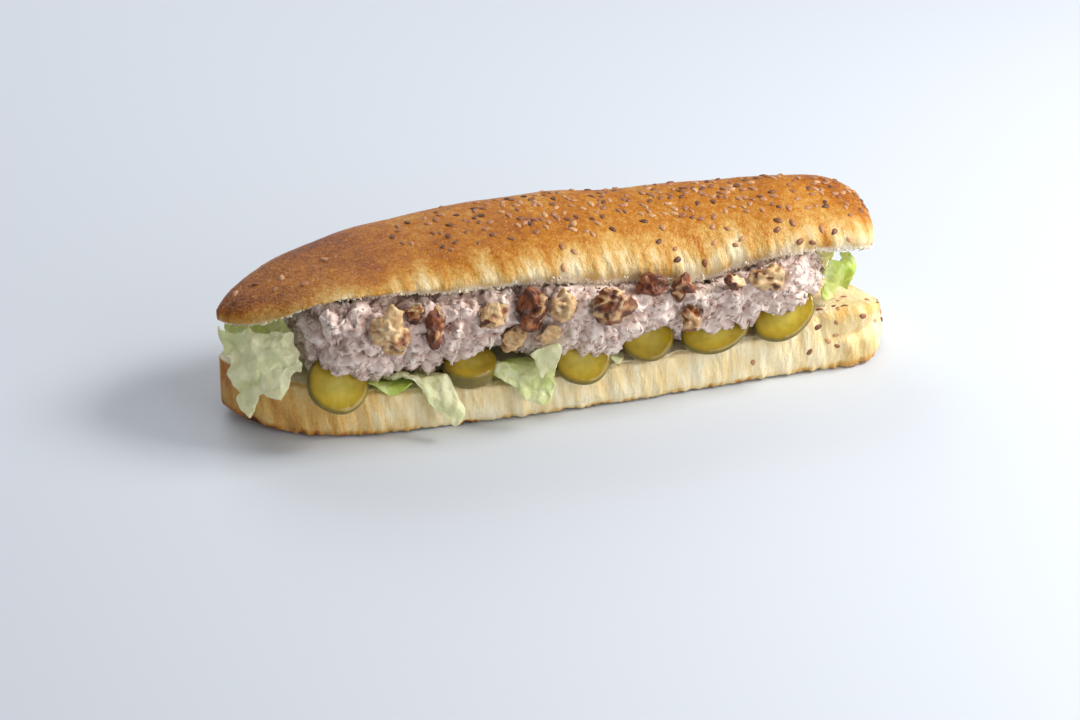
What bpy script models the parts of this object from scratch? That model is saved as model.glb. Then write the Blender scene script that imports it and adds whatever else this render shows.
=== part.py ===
# Submarine sandwich: a long roll cut into two halves, filled with lettuce, pickle slices,
# four scoops of flaked tuna salad and walnut pieces.
# X runs along the roll, the open front faces -Y, and the roll stands on Z = 0.
# Shapes are worked out in millimetres and scaled to metres as each mesh is made.

import math
import random

import bmesh
import bpy
from mathutils import Matrix, Vector, noise

MM = 0.001

# Roll, seen from above: a pointed left end and a blunt right end
LEFT_TIP, RIGHT_END, UPPER_RIGHT_END = -137.5, 137.0, 131.0
LEFT_TAPER, RIGHT_TAPER = 70.0, 26.0
CENTRE_LINE = ((-137, 0), (96, 0), (137, -4))
BODY_HALF_WIDTH = ((-137, 33.0), (-80, 33.0), (-10, 33.8), (30, 33.0), (70, 31.0), (105, 29.2),
                   (137, 28.8))
STATIONS = 40
TIP_HALF_WIDTH = 1.8

# Bottom half: heights of its cut edge, with the filling's weight pressing the middle down
LOWER_FRONT_EDGE = ((-137, 27), (-124, 27), (-104, 24), (-80, 20.5), (-50, 18.5), (0, 18.5),
                    (45, 20), (72, 21.5), (92, 24.5), (106, 28.5), (122, 29), (131, 26), (137.5, 19))
LOWER_BACK_EDGE = ((-137, 25), (-100, 19), (-40, 15.5), (30, 15), (100, 14.5), (137.5, 12))
LOWER_DIP = 2.0             # sag of the cut face between its edges
BASE_INSET = 2.0            # the base is this much narrower than the roll, each side
FLAT_LEFT, FLAT_RIGHT, FLAT_HALF_WIDTH = -100.0, 112.0, 26.0   # the flat that the loaf rests on
RIM_LIFT = 0.5              # the craggy rim around that flat stands clear of the table
EDGE_INSET = 1.8
WIDEST_AT = 0.42            # share of the edge height where the side is widest
CRAG_DEPTH = 1.1            # browned crags along the foot of the crust
END_GROOVE_Z, END_GROOVE_DEPTH, END_GROOVE_HALF = 17.5, 3.2, 4.0
END_GROOVE_FROM = 98.0

# Top half: heights of its crown and cut edges, tipped open towards the front
UPPER_CENTRE_Y = 1.5
UPPER_NARROWER = 2.0        # half-width less than the bottom half's
CROWN_SET_BACK = 5.0
CROWN = ((-137.5, 46.4), (-131, 50.6), (-121, 54.4), (-108, 59.6), (-91, 64.6), (-75, 68),
         (-47, 72), (-12, 74.3), (30, 72), (60, 70.8), (90, 71), (104, 69.8), (117, 67.8),
         (126, 63.5), (131, 56))
UPPER_FRONT_EDGE = ((-137.5, 43), (-123, 49), (-110, 56), (-94, 60.5), (-73, 61), (-48, 58.5),
                    (-28, 59), (-8, 57), (12, 54), (32, 51.5), (50, 48.5), (67, 52), (97, 55),
                    (122, 52), (131, 49))
UPPER_BACK_EDGE = ((-137.5, 42), (-100, 40), (-50, 38), (0, 37), (50, 35.5), (100, 37), (131, 41))
UPPER_EDGE_INSET = 2.8
UPPER_WIDEST_AT = 0.3       # share of the height above the cut edge where the side is widest
UPPER_HOLLOW = 1.6          # how far the cut face arches up between its edges

# Crust relief
BUMP_DEPTH, BUMP_LENGTH = 0.9, 26.0
RIDGE_DEPTH, RIDGE_LENGTH = 0.5, 7.0

# Sesame seeds
SEED_LENGTH, SEED_WIDTH, SEED_HEIGHT = 3.4, 2.2, 1.3
SEED_SEGMENTS, SEED_RINGS = 5, 4
SEED_SUNK = 0.1             # depth of a seed's middle under the crust
TOP_SEEDS, TOP_SEED_GAP = 38, 7.2
SIDE_SEEDS, SIDE_SEED_GAP = 10, 5.5

# Tuna salad: four scoops pressed together, each (middle, half length, front bulge)
SCOOPS = ((-92, 24, 4.0), (-49, 24, 2.5), (7, 29, 4.0), (70, 33, 3.5))
SALAD_LIP = ((-115, 32), (-107, 31), (-95, 30), (-81, 27), (-73, 30), (-61, 32), (-46, 33),
             (-34, 37), (-26, 34), (-9, 30), (7, 27), (23, 30), (33, 34), (48, 30), (65, 29),
             (86, 32), (98, 37), (108, 42))
TUNA_LEFT, TUNA_RIGHT = -109.5, 107.5
TUNA_FRONT, TUNA_BACK = 31.0, 30.5    # reach from the roll's middle line, before bulges
TUNA_MIDDLE_Z, TUNA_RISE, TUNA_BACK_RISE, TUNA_BACK_FALL = 36.0, 17.5, 13.0, 6.5
TUNA_SHEAR = 0.26           # the filling leans like the top half
TUNA_LEFT_ROUNDING, TUNA_RIGHT_ROUNDING = 12.0, 20.0
TUNA_LUMPS = ((1.7, 11.0), (0.9, 5.0))   # (depth, length) of the relief
TUNA_STATIONS, TUNA_ROUND = 40, 20
TUNA_OFF_BREAD = 5.5        # room for lettuce and pickles under the salad
BREAD_GAP = 0.8

# Lettuce
LEAF_THICKNESS = 0.8
LEAF_GAP = 1.35             # least distance from the bread to a leaf's middle surface

# Pickle slices: (name, x, side, slope, turn, radius along the roll, radius across, overhang,
# thickness)
PICKLE_SEGMENTS = 20
PICKLES = (
    ("pickle_front_1", -97.0, -1, 44, 0, 12.0, 11.6, -1.5, 3.4),
    ("pickle_front_2", -43.5, -1, 12, 0, 10.6, 10.0, -5.0, 7.5),
    ("pickle_front_3", 1.5, -1, 44, 0, 11.0, 11.0, -3.8, 3.6),
    ("pickle_front_4", 29.5, -1, 38, 10, 11.0, 10.0, -8.0, 3.4),
    ("pickle_front_5", 58.0, -1, 40, 12, 14.2, 9.6, -5.5, 3.4),
    ("pickle_front_6", 87.0, -1, 44, 20, 14.2, 9.4, -4.6, 3.6),
    ("pickle_back_1", -74.0, 1, 36, 0, 11.6, 11.4, 0.0, 3.4),
    ("pickle_back_2", -2.0, 1, 40, 10, 12.0, 11.2, 0.5, 3.6),
    ("pickle_back_3", 63.0, 1, 34, 0, 11.4, 11.8, -1.0, 3.4),
)
PICKLE_OFF_EDGE = 0.9

# Walnut pieces: (x, height, length, height of piece, depth of piece, turn about Y in degrees)
WALNUT_SUNK = 0.30          # share of a piece's depth that is inside the salad
WALNUT_GAP = 0.35
FRONT_WALNUTS = (
    (-77.5, 51.0, 12.5, 18.0, 9.0, -18), (-66.5, 54.5, 6.5, 7.0, 6.0, 20),
    (-59.5, 51.0, 6.5, 14.5, 7.0, 8), (-37.0, 51.5, 11.0, 11.0, 7.0, 12),
    (-20.0, 51.0, 12.0, 15.0, 11.0, 10), (-8.5, 52.0, 11.0, 10.5, 9.0, -12),
    (10.5, 51.5, 15.5, 15.0, 10.0, -8), (27.0, 55.0, 15.0, 7.0, 8.0, -4),
    (40.5, 51.5, 9.5, 9.0, 8.0, 25), (45.0, 38.5, 9.5, 10.0, 8.0, 15),
    (61.5, 52.5, 8.5, 6.0, 6.0, 5), (77.5, 52.0, 17.0, 9.5, 9.0, 5),
    (-28.0, 39.0, 10.5, 9.0, 8.5, 0), (-13.5, 40.0, 10.0, 6.0, 6.0, -20),
)
BACK_WALNUTS = (
    (-88.0, 30.0, 12.0, 10.0, 9.0, 14), (-40.0, 29.0, 13.0, 9.0, 9.0, -10),
    (22.0, 29.5, 11.0, 10.0, 9.0, 22), (46.0, 28.0, 12.0, 8.0, 8.5, -6),
    (84.0, 29.0, 11.0, 9.0, 8.5, 10),
)


def limit(value, low, high):
    return max(low, min(high, value))


def smooth(value, start, end):
    """0 before start, 1 after end, with an even slope between."""
    share = limit((value - start) / (end - start), 0.0, 1.0)
    return share * share * (3 - 2 * share)


def follow(points, at):
    """Height at one place on the smooth line through (place, height) pairs."""
    if at <= points[0][0]:
        return float(points[0][1])
    if at >= points[-1][0]:
        return float(points[-1][1])
    i = next(k for k in range(len(points) - 1) if points[k + 1][0] >= at)

    def slope(k):
        before, after = points[max(k - 1, 0)], points[min(k + 1, len(points) - 1)]
        return (after[1] - before[1]) / (after[0] - before[0])

    run = points[i + 1][0] - points[i][0]
    t = (at - points[i][0]) / run
    return ((2 * t**3 - 3 * t**2 + 1) * points[i][1] + (t**3 - 2 * t**2 + t) * run * slope(i)
            + (3 * t**2 - 2 * t**3) * points[i + 1][1] + (t**3 - t**2) * run * slope(i + 1))


def roughness_at(x, y, z, length):
    """Smooth random value from about -1 to 1, in patches of that length."""
    return noise.noise(Vector((x, y, z)) / length)


# Roll

def centre_y(x):
    return follow(CENTRE_LINE, x)


def half_width(x, right_end=RIGHT_END):
    left = limit((LEFT_TIP + LEFT_TAPER - x) / LEFT_TAPER, 0.0, 1.0)
    right = limit((x - right_end + RIGHT_TAPER) / RIGHT_TAPER, 0.0, 1.0)
    width = follow(BODY_HALF_WIDTH, x) * (1 - left**2.2) ** 0.62 * (1 - right**2.8) ** 0.5
    return max(width, TIP_HALF_WIDTH)


def level_edges(front, back, side, width):
    """The slope across a cut face stays the same where the roll narrows."""
    middle = (front + back) / 2
    return middle - side * (front - back) / 2 * min(width / 26, 1)


def lower_edge(x, side):
    return level_edges(follow(LOWER_FRONT_EDGE, x), follow(LOWER_BACK_EDGE, x), side, half_width(x))


def lower_cut(x, y):
    """Height of the bottom half's cut face."""
    width = max(half_width(x) - EDGE_INSET, 0.5)
    share = limit((y - centre_y(x) + width) / (2 * width), 0.0, 1.0)
    edge = lower_edge(x, -1) * (1 - share) + lower_edge(x, 1) * share
    return edge - LOWER_DIP * math.sin(math.pi * share) * min(width / 20, 1)


def lower_floor(x):
    """The underside is flat along the middle and curls up at both ends."""
    left = limit((FLAT_LEFT - x) / (FLAT_LEFT - LEFT_TIP), 0.0, 1.0)
    right = limit((x - FLAT_RIGHT) / (RIGHT_END - FLAT_RIGHT), 0.0, 1.0)
    return 5.0 * left**2 + 2.5 * right**2


def foot_point(x, side):
    """Edge of the flat that the loaf rests on, inside its craggy rim."""
    if FLAT_LEFT <= x <= FLAT_RIGHT:
        return Vector((x, side * FLAT_HALF_WIDTH, 0.0))
    half = min(FLAT_HALF_WIDTH, 0.8 * half_width(x))
    return Vector((x, centre_y(x) + side * half, lower_floor(x)))


def lower_reach(x, z, side):
    """Half-width of the bottom half at height z."""
    share = limit(z / lower_edge(x, side), 0.0, 1.0)
    if share < WIDEST_AT:
        inset = BASE_INSET * (1 - share / WIDEST_AT) ** 2
    else:
        inset = EDGE_INSET * ((share - WIDEST_AT) / (1 - WIDEST_AT)) ** 2
    groove = math.exp(-(((z - END_GROOVE_Z) / END_GROOVE_HALF) ** 2)) * END_GROOVE_DEPTH
    inset += groove * smooth(x, END_GROOVE_FROM, RIGHT_END - 12)
    return max(half_width(x) - inset * min(half_width(x) / 12, 1), 0.15)


def upper_half_width(x):
    return half_width(x, UPPER_RIGHT_END) * (1 - UPPER_NARROWER / BODY_HALF_WIDTH[0][1])


def upper_edge(x, side):
    front, back = follow(UPPER_FRONT_EDGE, x), follow(UPPER_BACK_EDGE, x)
    return level_edges(front, back, side, upper_half_width(x))


def upper_centre_y(x):
    return UPPER_CENTRE_Y + centre_y(x)


def upper_cut(x, y):
    """Height of the top half's cut face."""
    width = max(upper_half_width(x) - UPPER_EDGE_INSET, 0.5)
    share = limit((y - upper_centre_y(x) + width) / (2 * width), 0.0, 1.0)
    edge = upper_edge(x, -1) * (1 - share) + upper_edge(x, 1) * share
    return edge + UPPER_HOLLOW * math.sin(math.pi * share) * min(width / 20, 1)


def upper_crust(x, turn):
    """Point on the top half's crust. turn runs from 0 at the front edge to 1 at the back edge."""
    width = upper_half_width(x)
    crown_z = follow(CROWN, x)
    centre = upper_centre_y(x)
    crown_y = centre + CROWN_SET_BACK * min(width / 25, 1)
    side = -1 if turn < 0.5 else 1
    edge = upper_edge(x, side)
    widest_z = edge + UPPER_WIDEST_AT * (crown_z - edge)
    widest_y = centre + side * width
    rise = 1 - abs(turn - 0.5) * 2
    below = 0.18
    if rise < below:
        drop = (below - rise) / below
        inset = UPPER_EDGE_INSET * min(width / 12, 1) * drop**2
        return Vector((x, widest_y - side * inset, widest_z + (edge - widest_z) * drop))
    angle = (rise - below) / (1 - below) * math.pi / 2
    across = math.cos(angle) ** 0.92
    return Vector((x, crown_y + (widest_y - crown_y) * across,
                   widest_z + (crown_z - widest_z) * math.sin(angle)))


def crust_relief(point, sideways):
    """Depth of the crust's soft bumps and upright pulled ridges. sideways is 1 on the side, 0 on top."""
    bumps = BUMP_DEPTH * roughness_at(*point, BUMP_LENGTH)
    ridges = RIDGE_DEPTH * noise.noise(Vector((point.x / RIDGE_LENGTH, 0.0, point.z / 40)))
    return bumps + ridges * sideways


def stations(start, end, count, evenness):
    """Places along X, closer together near the two ends."""
    places = []
    for i in range(count):
        even = i / (count - 1)
        round_ends = (1 - math.cos(math.pi * even)) / 2
        places.append(start + (end - start) * (even * evenness + round_ends * (1 - evenness)))
    return places


def lower_ring(x):
    """Section of the bottom half, from its front cut edge down, under and up the back."""
    ring = []
    floor = lower_floor(x)
    fade = smooth(half_width(x), 2.0, 14.0)
    for side, shares in ((-1, (1.0, 0.8, 0.6, 0.4, 0.2, 0.07, 0.0)), (1, (0.0, 0.07, 0.2, 0.4, 0.6, 0.8, 1.0))):
        edge = lower_edge(x, side)
        for share in shares:
            z = floor + (edge - floor) * share
            reach = lower_reach(x, z, side)
            if 0 < share < 1:
                point = Vector((x, side * reach, z))
                relief = crust_relief(point, 1.0)
                if share < 0.1:
                    relief += CRAG_DEPTH * roughness_at(x, side * 40.0, 0.0, 3.1)
                reach += relief * fade
            rim_lift = RIM_LIFT if share == 0 else 0.0
            ring.append(Vector((x, centre_y(x) + side * reach, z + rim_lift)))
        if side < 0:
            ring += [foot_point(x, -1), foot_point(x, 1)]
    for share in (0.84, 0.67, 0.5, 0.33, 0.16):
        width = lower_reach(x, lower_edge(x, -1), -1)
        y = centre_y(x) + width * (2 * share - 1)
        ring.append(Vector((x, y, lower_cut(x, y) + 0.5 * fade * roughness_at(x, y, 90.0, 12.0))))
    return ring


def upper_ring(x):
    """Section of the top half: over the crust from front to back, then back along the cut face."""
    ring = []
    fade = smooth(half_width(x), 2.0, 14.0)
    steps = (0.0, 0.05, 0.11, 0.18, 0.25, 0.32, 0.4, 0.48, 0.56, 0.64, 0.72, 0.79, 0.86, 0.93, 1.0)
    for turn in steps:
        point = upper_crust(x, turn)
        sideways = abs(turn - 0.5) * 2
        out = Vector((0.0, point.y - upper_centre_y(x), point.z - upper_cut(x, point.y)))
        if 0 < turn < 1 and out.length > 0.1:
            point += out.normalized() * crust_relief(point, sideways) * fade
        ring.append(point)
    front, back = ring[0].y, ring[-1].y
    for share in (0.83, 0.66, 0.5, 0.34, 0.17):
        y = front + (back - front) * share
        ring.append(Vector((x, y, upper_cut(x, y) + 0.5 * fade * roughness_at(x, y, 50.0, 12.0))))
    return ring


# Making meshes

def new_object(name, mesh_builder, look, collection):
    """Object from a bmesh in millimetres, scaled to metres, outward faces, smooth shading."""
    bmesh.ops.recalc_face_normals(mesh_builder, faces=mesh_builder.faces)
    bmesh.ops.scale(mesh_builder, vec=(MM, MM, MM), verts=mesh_builder.verts)
    mesh = bpy.data.meshes.new(name)
    mesh_builder.to_mesh(mesh)
    mesh_builder.free()
    mesh.shade_smooth()
    obj = bpy.data.objects.new(name, mesh)
    obj.data.materials.append(look)
    collection.objects.link(obj)
    return obj


def loft(name, rings, look, collection):
    """Closed solid through a row of rings that all have the same number of points."""
    builder = bmesh.new()
    loops = [[builder.verts.new(point) for point in ring] for ring in rings]
    count = len(loops[0])
    for near, far in zip(loops, loops[1:]):
        for k in range(count):
            builder.faces.new((near[k], near[(k + 1) % count], far[(k + 1) % count], far[k]))
    for loop in (loops[0], loops[-1]):
        centre = builder.verts.new(sum((v.co for v in loop), Vector()) / count)
        for k in range(count):
            builder.faces.new((loop[k], loop[(k + 1) % count], centre))
    bmesh.ops.triangulate(builder, faces=builder.faces)
    return new_object(name, builder, look, collection)


def boolean_with(target, others, operation):
    """Joins or cuts target with a collection's objects, applies it, and removes them."""
    step = target.modifiers.new(operation.lower(), "BOOLEAN")
    step.operand_type = "COLLECTION"
    step.collection = others
    step.operation = operation
    step.solver = "EXACT"
    evaluated = target.evaluated_get(bpy.context.evaluated_depsgraph_get())
    made = bpy.data.meshes.new_from_object(evaluated)
    target.modifiers.clear()
    target.data = made
    for other in list(others.objects):
        bpy.data.objects.remove(other)
    bpy.data.collections.remove(others)
    keep_largest_body(target.data)


def keep_largest_body(mesh):
    """Drops loose scraps that a cut leaves."""
    builder = bmesh.new()
    builder.from_mesh(mesh)
    bmesh.ops.remove_doubles(builder, verts=builder.verts, dist=0.00001)
    waiting = set(builder.verts)
    bodies = []
    while waiting:
        body, edge = set(), [waiting.pop()]
        while edge:
            vert = edge.pop()
            body.add(vert)
            for other in (e.other_vert(vert) for e in vert.link_edges):
                if other in waiting:
                    waiting.discard(other)
                    edge.append(other)
        bodies.append(body)
    bodies.sort(key=len)
    scraps = [vert for body in bodies[:-1] for vert in body]
    bmesh.ops.delete(builder, geom=scraps, context="VERTS")
    builder.to_mesh(mesh)
    builder.free()


def scratch_collection(name):
    collection = bpy.data.collections.new(name)
    bpy.context.scene.collection.children.link(collection)
    return collection


# Seeds

def seed_at(name, point, normal, heading, look, collection):
    """A flat teardrop half sunk in the crust."""
    builder = bmesh.new()
    bmesh.ops.create_uvsphere(builder, u_segments=SEED_SEGMENTS, v_segments=SEED_RINGS, radius=0.5)
    for vert in builder.verts:
        taper = 1 - 0.5 * vert.co.z
        vert.co = Vector((vert.co.z * SEED_LENGTH, vert.co.x * SEED_WIDTH * taper,
                          vert.co.y * SEED_HEIGHT))
    along = (heading - normal * heading.dot(normal)).normalized()
    turn = Matrix((along, normal.cross(along), normal)).transposed().to_4x4()
    place = Matrix.Translation(point - normal * SEED_SUNK) @ turn
    bmesh.ops.transform(builder, matrix=place, verts=builder.verts)
    return new_object(name, builder, look, collection)


def top_seed_chance(x, turn):
    """Seeds lie thick along the crown, and over the whole side near the blunt end."""
    along = 0.1 + 0.9 * smooth(x, -75, -15)
    crown = math.exp(-(((turn - 0.46) / 0.15) ** 2))
    side = 0.8 * smooth(x, 35, 95) * smooth(turn, 0.02, 0.12) * (1 - smooth(turn, 0.7, 0.9))
    return along * max(crown, side)


def surface_point(place, x, turn):
    """Point and outward normal of a crust given by place(x, turn)."""
    reach, step = 0.6, 0.01
    along = place(x + reach, turn) - place(x - reach, turn)
    round_it = place(x, turn + step) - place(x, turn - step)
    return place(x, turn), along.cross(round_it).normalized()


def spread_seeds(place, chance, count, gap, x_range, turn_range, outward, rng):
    """Points on a crust, drawn by chance and at least a gap apart."""
    spots = []
    while len(spots) < count:
        x = rng.uniform(*x_range)
        turn = rng.uniform(*turn_range)
        angle = rng.uniform(0, 2 * math.pi)
        if rng.random() > chance(x, turn):
            continue
        point, normal = surface_point(place, x, turn)
        if normal.dot(outward(point)) < 0:
            normal.negate()
        if all((point - other[0]).length > gap for other in spots):
            spots.append((point, normal, angle))
    return spots


def lower_crust(x, share):
    """Point on the front side of the bottom half. share runs from 0 at its foot to 1 at its edge."""
    z = lower_floor(x) + (lower_edge(x, -1) - lower_floor(x)) * share
    return Vector((x, centre_y(x) - lower_reach(x, z, -1), z))


def relieved_top(x, turn):
    point = upper_crust(x, turn)
    out = Vector((0.0, point.y - upper_centre_y(x), point.z - upper_cut(x, point.y))).normalized()
    return point + out * crust_relief(point, abs(turn - 0.5) * 2)


def relieved_side(x, share):
    point = lower_crust(x, share)
    return point - Vector((0.0, crust_relief(point, 1.0), 0.0))


def add_seeds(bread, spots, look):
    """Fuses seeds to the bread in one union."""
    seeds = scratch_collection("seeds")
    for number, (point, normal, angle) in enumerate(spots):
        heading = Vector((math.cos(angle), 0.3, math.sin(angle)))
        seed_at(f"seed_{number}", point, normal, heading, look, seeds)
    boolean_with(bread, seeds, "UNION")


# Tuna salad

def tuna_size(x):
    """Front bulge and end rounding at one place along the salad."""
    bulge = 0.0
    for middle, half, out in SCOOPS:
        share = 1 - ((x - middle) / half) ** 2
        if share > 0:
            bulge = max(bulge, (3.0 + out) * math.sqrt(share))
    left = limit((TUNA_LEFT + TUNA_LEFT_ROUNDING - x) / TUNA_LEFT_ROUNDING, 0.0, 1.0)
    right = limit((x - TUNA_RIGHT + TUNA_RIGHT_ROUNDING) / TUNA_RIGHT_ROUNDING, 0.0, 1.0)
    rounding = math.sqrt(max(1 - max(left, right) ** 2, 0.03))
    return bulge, rounding


def tuna_surface(x, angle):
    """Point on the salad without its lumps. Angle 0 faces the front, a quarter turn faces up."""
    bulge, rounding = tuna_size(x)
    across, up = math.cos(angle), math.sin(angle)
    across = math.copysign(abs(across) ** 0.7, across)
    up = math.copysign(abs(up) ** 0.8, up)
    narrow = min(half_width(x) / BODY_HALF_WIDTH[0][1], 1.0)
    front = smooth(across, -0.4, 0.4)
    reach = (TUNA_FRONT + bulge if across > 0 else TUNA_BACK + 0.4 * bulge) * narrow
    y = -across * reach * (0.25 + 0.75 * rounding)
    fall = (TUNA_MIDDLE_Z + TUNA_SHEAR * TUNA_FRONT - follow(SALAD_LIP, x) + 1.5) / 0.75
    if up > 0:
        height = TUNA_BACK_RISE + (TUNA_RISE - TUNA_BACK_RISE) * front
    else:
        height = TUNA_BACK_FALL + (fall - TUNA_BACK_FALL) * front
    return Vector((x, y, TUNA_MIDDLE_Z + up * height * rounding - TUNA_SHEAR * y))


def tuna_ring(x):
    ring = []
    rounding = tuna_size(x)[1]
    for k in range(TUNA_ROUND):
        angle = 2 * math.pi * k / TUNA_ROUND
        point = tuna_surface(x, angle)
        out = Vector((0.0, -math.cos(angle), math.sin(angle)))
        lumps = sum(depth * roughness_at(*point, length) for depth, length in TUNA_LUMPS)
        point += out * lumps * rounding
        point.z = min(point.z, upper_cut(x, point.y) - BREAD_GAP)
        point.z = max(point.z, lower_cut(x, point.y) + TUNA_OFF_BREAD)
        ring.append(point)
    return ring


# Walnut pieces

def walnut_place(x, height, front):
    """Point on the front or back of the salad at that height."""
    first, last = (-80, 80) if front else (100, 260)
    angles = [math.radians(a) for a in range(first, last, 2)]
    best = min(angles, key=lambda a: abs(tuna_surface(x, a).z - height))
    return tuna_surface(x, best)


def walnut_lump(number, sizes, grow):
    """An angular broken piece of nut, centred on the origin."""
    builder = bmesh.new()
    bmesh.ops.create_icosphere(builder, subdivisions=2, radius=0.5)
    own = Vector((number * 7.3, 5.0, 1.0))
    for vert in builder.verts:
        lump = 1 + 0.42 * roughness_at(*(vert.co * 10 + own), 3.4)
        flat = 1.12 - 0.24 * abs(vert.co.normalized().dot(own.normalized()))
        vert.co = Vector((vert.co[i] * sizes[i] for i in range(3))) * lump * flat
        vert.co += vert.co.normalized() * grow
    return builder


def place_walnut(name, number, spec, front, grow, look, collection):
    x, height, length, tall, deep, turn = spec
    side = -1 if front else 1
    spot = walnut_place(x, height, front)
    spot.y += side * deep * (0.5 - WALNUT_SUNK)
    builder = walnut_lump(number, (length, deep, tall), grow)
    place = Matrix.Translation(spot) @ Matrix.Rotation(math.radians(turn), 4, "Y")
    bmesh.ops.transform(builder, matrix=place, verts=builder.verts)
    return new_object(name, builder, look, collection)


# Pickle slices

def pickle_slice(name, spec, grow, look, collection):
    """A round slice that rests on the bread's edge and slopes down outwards."""
    _, x, side, slope, turn, along, across, overhang, thickness = spec
    builder = bmesh.new()
    bmesh.ops.create_cone(builder, cap_ends=True, segments=PICKLE_SEGMENTS, radius1=0.94,
                          radius2=0.94, depth=1.0)
    uprights = [e for e in builder.edges if abs(e.verts[0].co.z - e.verts[1].co.z) > 0.5]
    bmesh.ops.subdivide_edges(builder, edges=uprights, cuts=1)
    for vert in builder.verts:
        if abs(vert.co.z) < 0.1:
            vert.co.xy = vert.co.xy.normalized()
        wobble = 1 + 0.03 * math.sin(2 * math.atan2(vert.co.y, vert.co.x) + x)
        bend = 0.5 * vert.co.x * vert.co.y
        vert.co = Vector((vert.co.x * (along + grow) * wobble, vert.co.y * (across + grow) * wobble,
                          vert.co.z * (thickness + 2 * grow) + bend))
    tilt = math.radians(slope)
    reach = 0.8 * along
    slant = (lower_edge(x + reach, side) - lower_edge(x - reach, side)) / (2 * reach)
    under = [step * reach / 3 for step in range(-3, 4)]
    edge_z = max(lower_edge(x + step, side) - slant * step for step in under)
    edge_y = max(half_width(x + step) for step in under) - EDGE_INSET
    edge = Vector((x, centre_y(x) + side * edge_y, edge_z))
    normal = Vector((0.0, side * math.sin(tilt), math.cos(tilt)))
    outward = Vector((0.0, side * math.cos(tilt), -math.sin(tilt)))
    centre = edge + normal * (thickness / 2 + PICKLE_OFF_EDGE) + outward * overhang
    place = Matrix.Translation(centre) @ Matrix.Rotation(-math.atan(slant), 4, "Y")
    place @= Matrix.Rotation(-side * tilt, 4, "X") @ Matrix.Rotation(math.radians(turn), 4, "Z")
    bmesh.ops.transform(builder, matrix=place, verts=builder.verts)
    return new_object(name, builder, look, collection)


# Lettuce

def off_bread(point):
    """Moves a leaf's point clear of both halves of the roll, the shorter way."""
    x, y, z = point
    side = -1 if y < centre_y(x) else 1
    cut = lower_cut(x, y) + LEAF_GAP
    reach = lower_reach(x, z, side) + LEAF_GAP
    if LEFT_TIP < x < RIGHT_END and z < cut and abs(y - centre_y(x)) < reach:
        if cut - z < reach - abs(y - centre_y(x)):
            z = cut
        else:
            y = centre_y(x) + side * reach
    if abs(y - upper_centre_y(x)) < upper_half_width(x) + LEAF_GAP:
        z = min(z, upper_cut(x, y) - LEAF_GAP)
    return Vector((x, y, z))


def draped(x, down, lift, side):
    """Point a lift above the bread, at a distance down from its cut edge; negative is inwards."""
    edge_y, edge_z = half_width(x) - EDGE_INSET, lower_edge(x, side)
    quarter = lift * math.pi / 2
    if down <= 0:
        y = centre_y(x) + side * (edge_y + down)
        return Vector((x, y, lower_cut(x, y) + lift))
    if down < quarter:
        angle = down / lift
        y = centre_y(x) + side * (edge_y + lift * math.sin(angle))
        return Vector((x, y, edge_z + lift * math.cos(angle)))
    z = edge_z - (down - quarter)
    return Vector((x, centre_y(x) + side * (lower_reach(x, z, side) + lift), z))


def draped_leaf(start, end, inner, outer, side, waves, point_at, edge_drop, lean=0.0):
    """Leaf over the bread's edge. Its outer rim comes to a point at a share of its length."""
    def place(u, v):
        x = start + (end - start) * (u + 0.1 * math.sin(3 * v)) + lean * v * v
        tip = 1 - min(abs(u - point_at) / max(point_at, 1 - point_at), 1)
        rim = inner + (outer - inner) * (edge_drop + (1 - edge_drop) * tip)
        down = inner + (rim - inner) * v
        wave = 0.5 + 0.5 * math.sin(waves * math.pi * u + 2.2 * v)
        lift = LEAF_GAP + 0.2 + 1.5 * wave * v
        return draped(x, down, lift, side)
    return place


def patch_leaf(corners, bulge, waves):
    """Leaf across four corners, bowed out and ruffled."""
    a, b, c, d = (Vector(corner) for corner in corners)
    face = (b - a).cross(d - a).normalized()

    def place(u, v):
        v *= 0.9 + 0.1 * math.sin(11 * u + 1.0)
        flat = (a * (1 - u) + b * u) * (1 - v) + (d * (1 - u) + c * u) * v
        bow = bulge * math.sin(math.pi * u) * math.sin(math.pi * limit(v, 0.02, 0.98))
        ruffle = 1.1 * math.sin(waves * math.pi * u + 3 * v) * math.cos(2.3 * v)
        return flat + face * (bow + ruffle)
    return place


def bed_leaf(u, v):
    """Torn lettuce under the salad, ruffled towards the two open sides."""
    x = -110 + 208 * u
    y = (half_width(x) - 13.5) * (2 * v - 1)
    y = centre_y(x) + y * (1 + 0.06 * math.sin(21 * u))
    rise = 1.2 + 1.0 * math.sin(34 * u) * (2 * v - 1) ** 2
    return Vector((x, y, lower_cut(x, y) + LEAF_GAP + rise))


def leaf(name, place, columns, rows, look, collection):
    """Thin wavy sheet, split into triangles the same way on both faces."""
    builder = bmesh.new()
    grid = [[builder.verts.new(off_bread(place(i / columns, j / rows))) for i in range(columns + 1)]
            for j in range(rows + 1)]
    for j in range(rows):
        for i in range(columns):
            builder.faces.new((grid[j][i], grid[j][i + 1], grid[j + 1][i + 1]))
            builder.faces.new((grid[j][i], grid[j + 1][i + 1], grid[j + 1][i]))
    obj = new_object(name, builder, look, collection)
    wall = obj.modifiers.new("thickness", "SOLIDIFY")
    wall.thickness = LEAF_THICKNESS * MM
    wall.offset = 0.0
    return obj


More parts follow.
